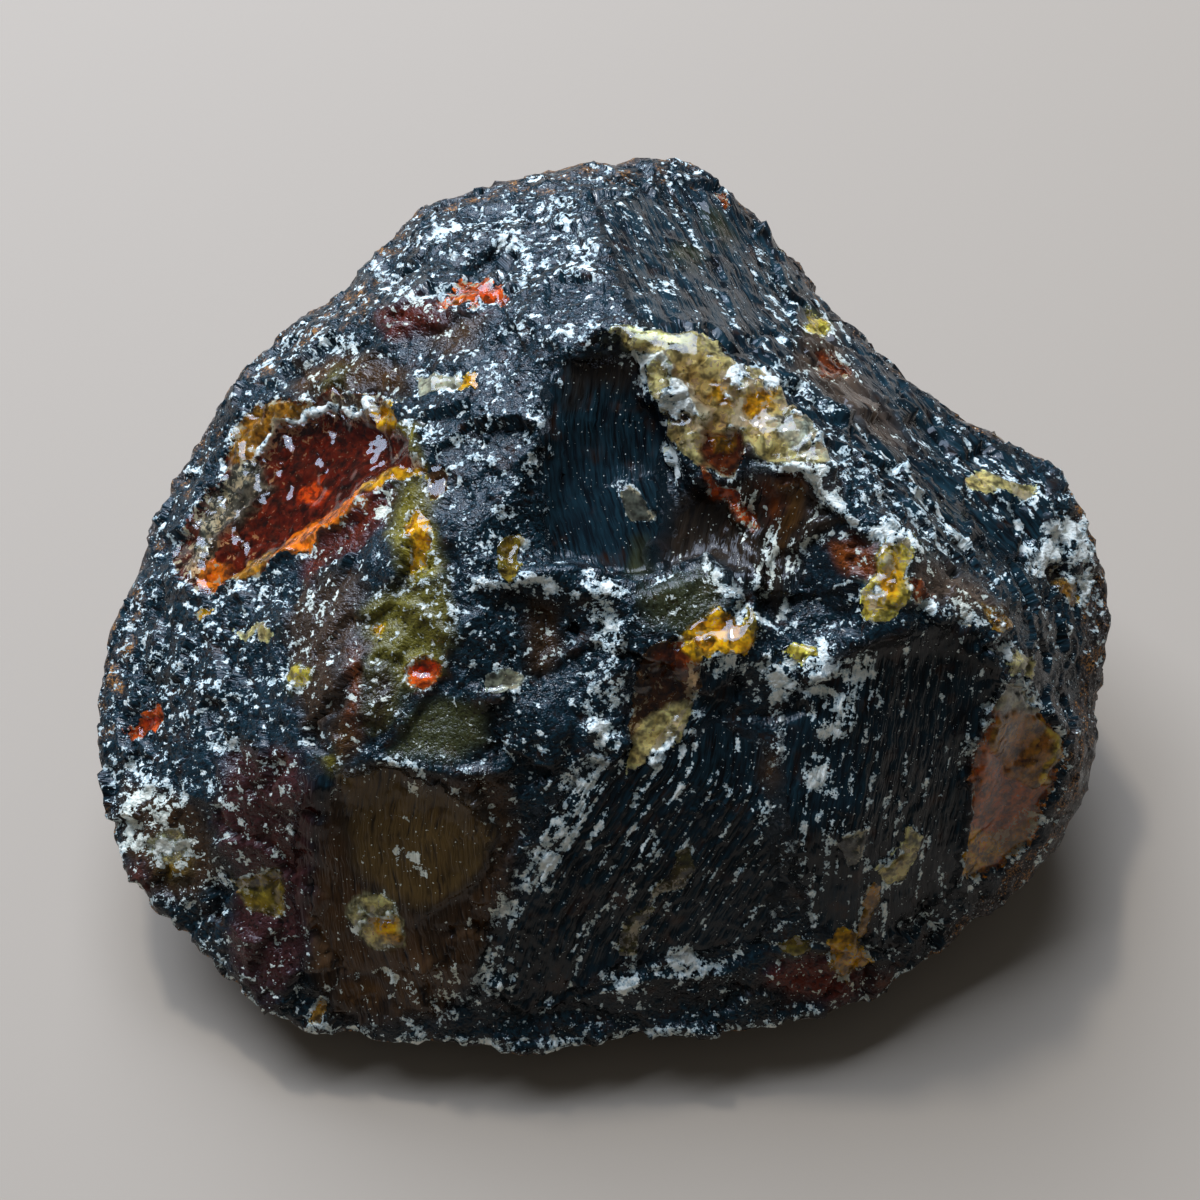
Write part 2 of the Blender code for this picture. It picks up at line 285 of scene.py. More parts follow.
def noise_at(points, size, seed, rounds=3):
    """Smooth noise from about -1 to 1 at each point, in lumps of this size in metres."""
    shift = Vector([seed * part for part in NOISE_SHIFT])
    return np.array([noise.fractal(Vector(point) / size + shift, NOISE_FADE, NOISE_FINER, rounds)
                     for point in points])


sheet = on_sheet(places)
to_eye = np.array(EYE) - places
to_eye /= np.linalg.norm(to_eye, axis=1)[:, None]
front = ramp((normals * to_eye).sum(axis=1), FRONT_STARTS, FRONT_FULL)
wander_all = np.stack([noise_at(places, WANDER_SIZE, seed) for seed in (1, 2, 14)], axis=1) * WANDER_REACH
wander = wander_all[:, :2]
sheet_ragged = sheet + wander


def depth_inside(outline, spots):
    """Millimetres from each spot to the outline, positive inside it."""
    corners = np.array(outline, float)
    nearest = np.full(len(spots), 1e9)
    inside = np.zeros(len(spots), bool)
    for start, end in zip(corners, np.roll(corners, -1, axis=0)):
        along = end - start
        share = np.clip((spots - start) @ along / (along @ along), 0, 1)
        off = spots - start - share[:, None] * along
        nearest = np.minimum(nearest, np.hypot(off[:, 0], off[:, 1]))
        if along[1]:
            crossing = start[0] + (spots[:, 1] - start[1]) * along[0] / along[1]
            inside ^= ((start[1] > spots[:, 1]) != (end[1] > spots[:, 1])) & (spots[:, 0] < crossing)
    return np.where(inside, nearest, -nearest)


def flow_along(line, spots):
    """Millimetres across and along a line of points, for each spot, the near one of its stretches taken."""
    points = np.array(line, float)
    best = np.full(len(spots), 1e9)
    across, along_it = np.zeros(len(spots)), np.zeros(len(spots))
    walked = 0.0
    for start, end in zip(points[:-1], points[1:]):
        way = end - start
        length = np.hypot(*way)
        share = (spots - start) @ way / length**2
        off = spots - start - np.clip(share, 0, 1)[:, None] * way
        away = np.hypot(off[:, 0], off[:, 1])
        side = np.sign(way[0] * off[:, 1] - way[1] * off[:, 0])
        nearer = away < best
        best = np.where(nearer, away, best)
        across = np.where(nearer, away * side, across)
        along_it = np.where(nearer, walked + share * length, along_it)
        walked += length
    return across, along_it


# Ripples: a blow spreads through resin in waves, and leaves them standing side by side along its path.
# Each set has its spacing and height in millimetres, the line that it follows and the patch that it
# fills, and the fine hackle of the break runs the same way.
RIPPLES = {
    "black face": (
        1.5, 0.16,
        ((41.1, -1.8), (38.8, -18.7), (36.3, -31.5), (35.2, -44.3)),
        ((32.9, -4.6), (46.6, -2.7), (51.1, -10), (46.6, -17.8), (45.7, -29.7), (44.3, -36.1),
        (36.1, -43.4), (26.9, -41.6), (23.3, -26.9), (22.4, -14.2)),
    ),
    "fan": (
        1.4, 0.3,
        ((5.9, -8.7), (4.6, -18.7), (-2.3, -29.7), (-7.8, -39.7), (-11, -49.8)),
        ((3.2, -19.6), (12.8, -15.1), (20.5, -17.8), (22.4, -36.1), (20.5, -42.9), (1.8, -46.1),
        (-9.6, -53.4), (-15.5, -47.5), (-7.8, -26.9), (0, -20.5)),
    ),
    "second scoop": (
        1.6, 0.22,
        ((26.9, 18.9), (24.2, 13.4), (21.9, 7.4), (20.5, -0.3)),
        ((14.2, 15.2), (20.5, 16.6), (26.9, 14.3), (30.1, 9.3), (26.9, 7), (23.3, -1.7), (18.7, 1),
        (14.2, 3.8), (7.8, 2.9), (8.7, 9.3)),
    ),
    "central hollow": (
        2.9, 0.12,
        ((-3.2, 30.7), (-4.1, 22.5), (-3.2, 13.4), (0, 3.3)),
        ((-5.9, 29.8), (4.1, 30.7), (8.2, 19.8), (7.8, 9.7), (5.9, 2.9), (-0.5, 2.4), (-6.4, 4.2),
        (-7.8, 17.9)),
    ),
    "brown plate": (
        2.3, 0.05,
        ((-28.1, -19.2), (-29.4, -29.6), (-28.1, -42.6), (-25.1, -53.4)),
        ((-37.6, -21.8), (-26.4, -20.9), (-19.9, -22.7), (-13.4, -28.3), (-13.8, -33), (-12.1, -38.2),
        (-16.9, -51.2), (-30.7, -53.8), (-37.6, -46.9), (-38.5, -33.9)),
    ),
    "boss": (
        1.1, 0.16,
        ((13.2, -6.4), (12.6, -11), (10.5, -14.2), (6.4, -20.5)),
        ((4.1, -7.8), (13.2, -5.9), (17.8, -6.8), (16.9, -13.2), (10, -18.7), (4.1, -21.9), (3.2, -13.2)),
    ),
    "upper facet": (
        3.0, 0.16,
        ((8.7, 52.2), (17.8, 35.3), (31.5, 20.2), (47.5, 2.9)),
        ((-0.5, 49.9), (14.2, 53.6), (45.2, 21.1), (58, 15.2), (54.3, 4.2), (40.6, 8.4), (26.9, 22.5),
        (16.9, 29.8), (4.1, 35.3)),
    ),
}
HACKLE_STRETCH, PATCHES_APART = 9, 40.0
RIPPLE_SWAY, RIPPLE_RAGGED, RIPPLE_SHARPNESS = 1.3, 0.5, 0.7
lift = np.zeros(len(places))
uneven = noise_at(places, 6 * MM, 3)
flow = np.stack([sheet[:, 0], sheet[:, 1] * HACKLE_STRETCH, places[:, 1] / MM], axis=1)
for row, (spacing, height, line, patch) in enumerate(RIPPLES.values()):
    inside = depth_inside(patch, sheet_ragged)
    across, along_it = flow_along(line, sheet)
    phase = (across + RIPPLE_SWAY * uneven + RIPPLE_RAGGED * wander[:, 0]) / spacing
    wave = 1 - 2 * np.abs(np.sin(math.pi * phase)) ** RIPPLE_SHARPNESS
    strength = np.clip(0.7 + 0.6 * uneven, 0, 1.2)
    lift += front * height * wave * strength * ramp(inside, -0.3, 2.2)
    held = (inside > 0) & (front > 0)
    flow[held] = np.stack([across, along_it, np.full(len(across), PATCHES_APART * row)], axis=1)[held]


# Steps: thin lips where one flake ends over the next, raised on the line's left side and fading away
# from it. Each has its height and its reach in millimetres, then its line.
STEPS = {
    "flake crest": (0.7, 3.0, ((28.8, 17), (26.9, 20.2), (23.3, 24.3), (21, 28.9), (17.4, 29.4), (13.2, 33),
        (5.9, 33.7))),
    "flake foot": (0.6, 2.5, ((4.6, 31.2), (6.8, 25.7), (8.7, 22.5), (8.7, 18.4), (10, 13.4))),
    "scoop edge": (0.8, 2.2, ((20.5, 17.5), (24.2, 16.6), (26.9, 15.7), (29.2, 12), (31.1, 9.7),
        (35.6, 8.8))),
    "lower lip": (0.8, 2.0, ((-7.8, 2.4), (-2.3, 2.9), (1.4, 1), (4.6, 0.1), (10, 2.6), (14.2, 3.8))),
    "boss lip": (0.7, 2.0, ((5.9, -7.8), (8.7, -8.7), (12.3, -8.2), (15.1, -6.6), (17.8, -6.4),
        (19.2, -4.1))),
    "brown plate edge": (0.6, 2.6, ((-21.6, -39.5), (-15.6, -35.2), (-13, -30.9), (-13.4, -28.3),
        (-15.6, -24.8), (-19.9, -22.7))),
    "plate top": (0.6, 2.2, ((-12.1, -21.8), (-17.7, -20.9), (-23.8, -20.5), (-27.7, -19.4))),
    "olive right edge": (0.7, 2.2, ((-24.2, -15.7), (-20.3, -10.6), (-18, -5.4), (-18.4, -0.6),
        (-19.5, 2.9))),
    "left lens foot": (0.8, 2.4, ((-48.9, 0.6), (-44.6, 2.8), (-38.5, 5.6), (-33.3, 8.9), (-29.4, 12.3),
        (-22.5, 16.4))),
    "left lens top": (0.7, 2.0, ((-25.5, 24.9), (-30.7, 26.2), (-35, 25.9), (-39.4, 24.9), (-43.7, 24.4),
        (-46.1, 21.4))),
    "ridge line": (0.6, 2.4, ((33.8, -44.3), (28.8, -43.4), (20.5, -43.8), (15.1, -46.6), (5, -47),
        (-5, -50.2))),
    "upper gully": (0.5, 2.4, ((12.8, 49.9), (16.9, 33.5), (24.2, 28), (32.9, 18.9), (40.6, 8.4),
        (49.3, 1.5))),
    "upper gully right": (0.5, 2.4, ((20.5, 46.3), (25.1, 32.1), (31.5, 23.4), (38.8, 13.8), (46.1, 7.4))),
}
STEP_RAGGED, STEP_EDGE = 0.5, 0.25
for height, reach, line in STEPS.values():
    away = flow_along(line, sheet + wander * STEP_RAGGED)[0]
    step = ramp(away, -STEP_EDGE, STEP_EDGE) * np.exp(-np.maximum(away, 0) / reach)
    lift += front * height * step


# Lips: the rounded rims that a blow leaves at the edge of its scar, each a smooth roll along its line,
# with its height and its half width in millimetres.
LIPS = {
    "hollow lip": (1.1, 1.3, ((-11.9, 2.3), (-6.4, 2.8), (-1.9, 1.9), (1.9, 0.4), (5.4, 0), (8.2, 1.1),
        (11.6, 2.9), (14.3, 3.8))),
    "boss rim": (0.7, 1.0, ((14.3, 3.8), (17.3, 2.5), (19.1, 0), (18.8, -3.1), (17, -6.3))),
    "scoop rim": (0.8, 0.9, ((20.5, 16.3), (23.9, 16.6), (26.6, 16.3), (29.1, 12.6), (31.7, 9),
        (35.2, 8.2))),
    "scoop foot": (0.6, 0.9, ((38.3, -4), (33.9, -5), (30.2, -6.9), (25.1, -6.3), (22, -4.4),
        (19.5, -3.1))),
    "lens lip": (0.6, 0.9, ((-22.9, 19.1), (-25.8, 16.1), (-30.2, 12.6), (-34.5, 8.8), (-40.2, 5.5),
        (-45.9, 2.5))),
    "plate lip": (0.5, 0.9, ((-27, -19.7), (-21.4, -20.7), (-15.1, -21.6), (-11.9, -21.1))),
}
LIP_RAGGED = 0.25
rolled = np.zeros(len(places))
for height, half_width, line in LIPS.values():
    away = flow_along(line, sheet + wander * LIP_RAGGED)[0]
    roll = np.exp(-((away / half_width) ** 2))
    lift += front * height * roll
    rolled = np.maximum(rolled, front * roll)


# Clear windows: flakes and lenses of clear amber that light gets into, from red-brown to yellow.
# The soft ones lie deep and fade into the dark, and are painted: their glow, the light that comes back out
# of the resin there, is laid into the dark body's colour in the resin's own browns, olives and reds. Each
# has its colour, its strength and its outline.
REDDISH, RUST, ORANGE, FLAME = "#6E2406", "#96480A", "#F26A00", "#FF9A06"
YELLOW, LEMON, OCHRE, STRAW = "#F8C800", "#F4EA66", "#BD9022", "#E8E6A6"
OLIVE, MOSS, BROWN, UMBER = "#9A8A1E", "#575424", "#5E3C14", "#3C2810"
MAUVE, SMOKE, FROST, LOAM, HONEY = "#65503E", "#6E7670", "#C4D2C8", "#75582A", "#C77400"
GLOWS = {
    "lower left": (BROWN, 0.7, (
        (-33.3, -22.7), (-12.1, -21.8), (-10.4, -29.6), (-13.4, -42.6), (-19.9, -52.5), (-30.7, -53.4),
        (-35.9, -49.1), (-37.6, -38.2))),
    "under lens": (BROWN, 0.5, ((-37.6, 2.4), (-29.8, 4.2), (-29.4, -5.8), (-32.4, -13.1), (-35.5, -19.2),
        (-38.5, -12.3), (-39.4, -3.6))),
    "left wall": (REDDISH, 0.4, (
        (-47.2, -19.2), (-37.6, -19.2), (-35, -27.9), (-36.8, -44.7), (-41.1, -51.2), (-46.7, -44.7),
        (-45.4, -33.9), (-48.9, -27.9))),
    "left low": (BROWN, 0.6, ((-59.7, -22.7), (-51, -25.3), (-47.2, -33.9), (-51, -38.2), (-57.5, -36.5),
        (-60.6, -29.6))),
    "left lens middle": (REDDISH, 0.9, (
        (-41.1, 18.8), (-35, 22.3), (-29.8, 23.1), (-28.6, 18.8), (-30.7, 15.8), (-35, 13.2),
        (-41.1, 13.2))),
    "left lens right": (OLIVE, 0.8, ((-29, 21.8), (-22.9, 21.4), (-22.1, 16.6), (-26.4, 14.9),
        (-30.3, 13.2), (-30.7, 15.8))),
    "upper band": (BROWN, 0.9, (
        (-39.4, 26.6), (-37.2, 29.2), (-33.3, 30.7), (-29.4, 30.9), (-26.8, 29.2), (-23.4, 28.8),
        (-24.2, 26.2), (-27.3, 25.5), (-29.4, 26.2), (-35, 26.4), (-37.6, 25.7))),
    "upper band light": (OLIVE, 0.8, ((-35.5, 25.7), (-33.3, 28.8), (-31.1, 28.8), (-32.4, 26.6),
        (-34.2, 25.5))),
    "upper brow": (BROWN, 0.7, ((-22.5, 34.8), (-18.2, 35), (-14.3, 35.7), (-15.6, 32.2), (-19.5, 30.1),
        (-22.1, 32.2))),
    "pit brown": (REDDISH, 0.8, ((-27.7, 36.5), (-21.2, 37.8), (-18.2, 35.7), (-22.1, 33.1),
        (-26.4, 32.7))),
    "olive strip": (OLIVE, 0.8, (
        (-25.1, 14.9), (-22.1, 15.6), (-20.5, 13.2), (-21.8, 10.6), (-20.1, 7.1), (-20.5, 3.2),
        (-23.8, 1.9), (-25.3, 5), (-26.6, 9.3), (-25.5, 12.3))),
    # A painted shadow: the dark red band that the left lens's raised rim casts on the resin below it.
    "red shadow": (REDDISH, 0.9, (
        (-29, 13.2), (-25.1, 14.3), (-26.2, 11), (-31.1, 7.1), (-34.6, 4.5), (-37.6, 1.3), (-37, 5.4),
        (-33.3, 8.6))),
    "flake moss": (MOSS, 0.8, ((6.4, 33.5), (10, 33), (11, 28.9), (14.2, 27.1), (12.3, 25.7), (8.7, 28),
        (6.4, 30.7))),
    "scoop brow": (MAUVE, 0.9, (
        (17.8, 21.8), (21.5, 21.1), (24.7, 19.3), (26.9, 17), (29.7, 12.9), (27.9, 15.2), (24.2, 16.8),
        (20.5, 17.7), (18.3, 18.9))),
    "scoop wall": (UMBER, 0.7, (
        (10, 13.4), (18.7, 16.1), (26.9, 15.2), (29.7, 9.7), (26.9, 7), (24.2, 2.4), (22.4, -2.1),
        (19.6, 1.5), (14.2, 4.2), (8.2, 2.9), (8.2, 8.8))),
    "hollow roof": (UMBER, 0.6, ((-4.6, 28.7), (-1.2, 31.5), (3.6, 32.2), (5.4, 29.8), (4, 26.3),
        (-1.2, 26.3), (-3.9, 23.9))),
    "scoop embers": (RUST, 0.9, ((20.2, 15.3), (24.6, 16.3), (25.7, 14.3), (24, 11.5), (21.9, 8.7),
        (20.2, 11.5))),
    "scoop far wall": (RUST, 0.8, ((28.8, 7), (31.9, 7.7), (34.6, 6.7), (35, 4.3), (33.3, 2.9),
        (30.2, 3.9))),
    "scoop glow": (BROWN, 0.9, ((20.5, 15.7), (26, 15), (26.5, 10.6), (22.4, 4.2), (20.5, 5.2),
        (22.8, 11.6))),
    "upper lens": (MAUVE, 0.9, (
        (24.9, 32.1), (26, 36.2), (28.1, 35.8), (29.9, 33.5), (31.5, 29.8), (33.8, 26.2), (36.5, 23),
        (40.2, 18.4), (36.1, 19.8), (31.5, 22.5), (26.9, 26.2), (24.7, 29.4))),
    "apex moss": (MOSS, 0.6, ((12.8, 48.5), (15.1, 49.2), (16.9, 45.8), (15.5, 44.9), (13.2, 46.7))),
    "apex moss low": (MOSS, 0.6, ((8.7, 44), (11, 44.9), (13.2, 43.1), (11.4, 41.7), (9.1, 42.6))),
    "knob ridge": (MAUVE, 0.9, (
        (40, 6.1), (44.3, 4.2), (48.4, 1.5), (51.6, -2.4), (46.6, -1.7), (41.1, 0.1), (38.6, 0.6))),
    "boss top": (MOSS, 0.6, ((4.8, 0), (8.7, 1.6), (14.2, 3.9), (15.8, 0), (13.2, -2.5), (9.6, -3.7),
        (5.7, -4.1))),
    "pocket red": (REDDISH, 0.9, ((47, -20.5), (49.8, -14.6), (49.8, -18.7), (53, -22.4), (54.3, -24.2),
        (47, -24.2))),
    "pocket mauve": (MAUVE, 0.9, ((47, -24.2), (54.8, -23.7), (54.3, -26.9), (49.8, -28.3), (47, -28.8))),
    "under band": (REDDISH, 0.9, (
        (20.5, -46.1), (26.9, -44.7), (32.4, -46.6), (36.3, -46.1), (35.2, -49.1), (29.7, -50.9),
        (24.2, -50), (20.5, -48.4))),
    "under embers": (RUST, 0.9, ((33.8, -46.6), (37.2, -46.4), (36.8, -48.4), (34.2, -50.2))),
    "column brown": (BROWN, 0.7, ((20.3, -18.7), (22.4, -19.2), (23.5, -22.8), (21.5, -24.2),
        (20.1, -21.9))),
    "olive ledge": (OLIVE, 0.5, (
        (-29.6, -0.6), (-28.6, 0.9), (-19.5, 2.6), (-18.6, -1), (-17.7, -4.9), (-19.5, -6.7), (-19.9, -9.3),
        (-22.1, -11.6), (-24.2, -11), (-26.4, -15.7), (-29, -16.2), (-29.4, -10.1), (-30.1, -4.1))),
    "olive ledge dark": (UMBER, 0.8, ((-29.4, -9.3), (-26.4, -8), (-25.1, -11.4), (-26.4, -15.7),
        (-28.6, -16.6))),
    "brown stripe": (BROWN, 0.8, (
        (-33.1, -6.2), (-29.8, -4.7), (-29.2, -12.3), (-30.1, -18.3), (-32.4, -21.4), (-33.7, -16.6),
        (-32.4, -12.3))),
    "brown stripe glow": (RUST, 0.9, ((-31.6, -6.2), (-30.1, -5.4), (-29.6, -11.8), (-30.7, -16.6),
        (-31.8, -15.7))),
    "olive depth": (MOSS, 0.7, ((-24.2, -14), (-18.6, -12.3), (-13.8, -13.1), (-13.8, -18.3),
        (-19.9, -20.3), (-26.4, -19.2))),
    "brown plate": (LOAM, 0.8, (
        (-33.3, -20.9), (-26.4, -20.7), (-19.9, -22.7), (-15.6, -24.8), (-13.2, -28.3), (-13, -30.9),
        (-15.6, -35.2), (-19.9, -39.1), (-26.4, -38.7), (-30.7, -33.9), (-32.4, -27.4))),
    "left red": (REDDISH, 0.7, ((-59.1, -33), (-57.3, -33), (-56.5, -36.3), (-58.2, -37.2))),
    "left ochre": (OCHRE, 0.8, ((-55.6, -31.7), (-51.5, -32.2), (-51.9, -35.2), (-54.9, -35.2))),
    "yellow spot": (OLIVE, 0.8, ((-35.3, -19.6), (-33.3, -18.8), (-32.5, -20.5), (-34.4, -21.6))),
    "faint oval": (BROWN, 0.7, ((-9.7, -2.8), (-8.2, 0), (-5.2, -0.2), (-4.8, -5.8), (-6.1, -9),
        (-9.5, -9))),
    "bottom brown": (BROWN, 0.8, ((-33.3, -47.5), (-29.4, -46.9), (-26.2, -48.6), (-26.6, -52.1),
        (-33.3, -52.3))),
    "hollow flake low": (MOSS, 0.7, ((4.3, 7.4), (5.9, 7.4), (6.4, 2.4), (3.2, 2.4))),
}
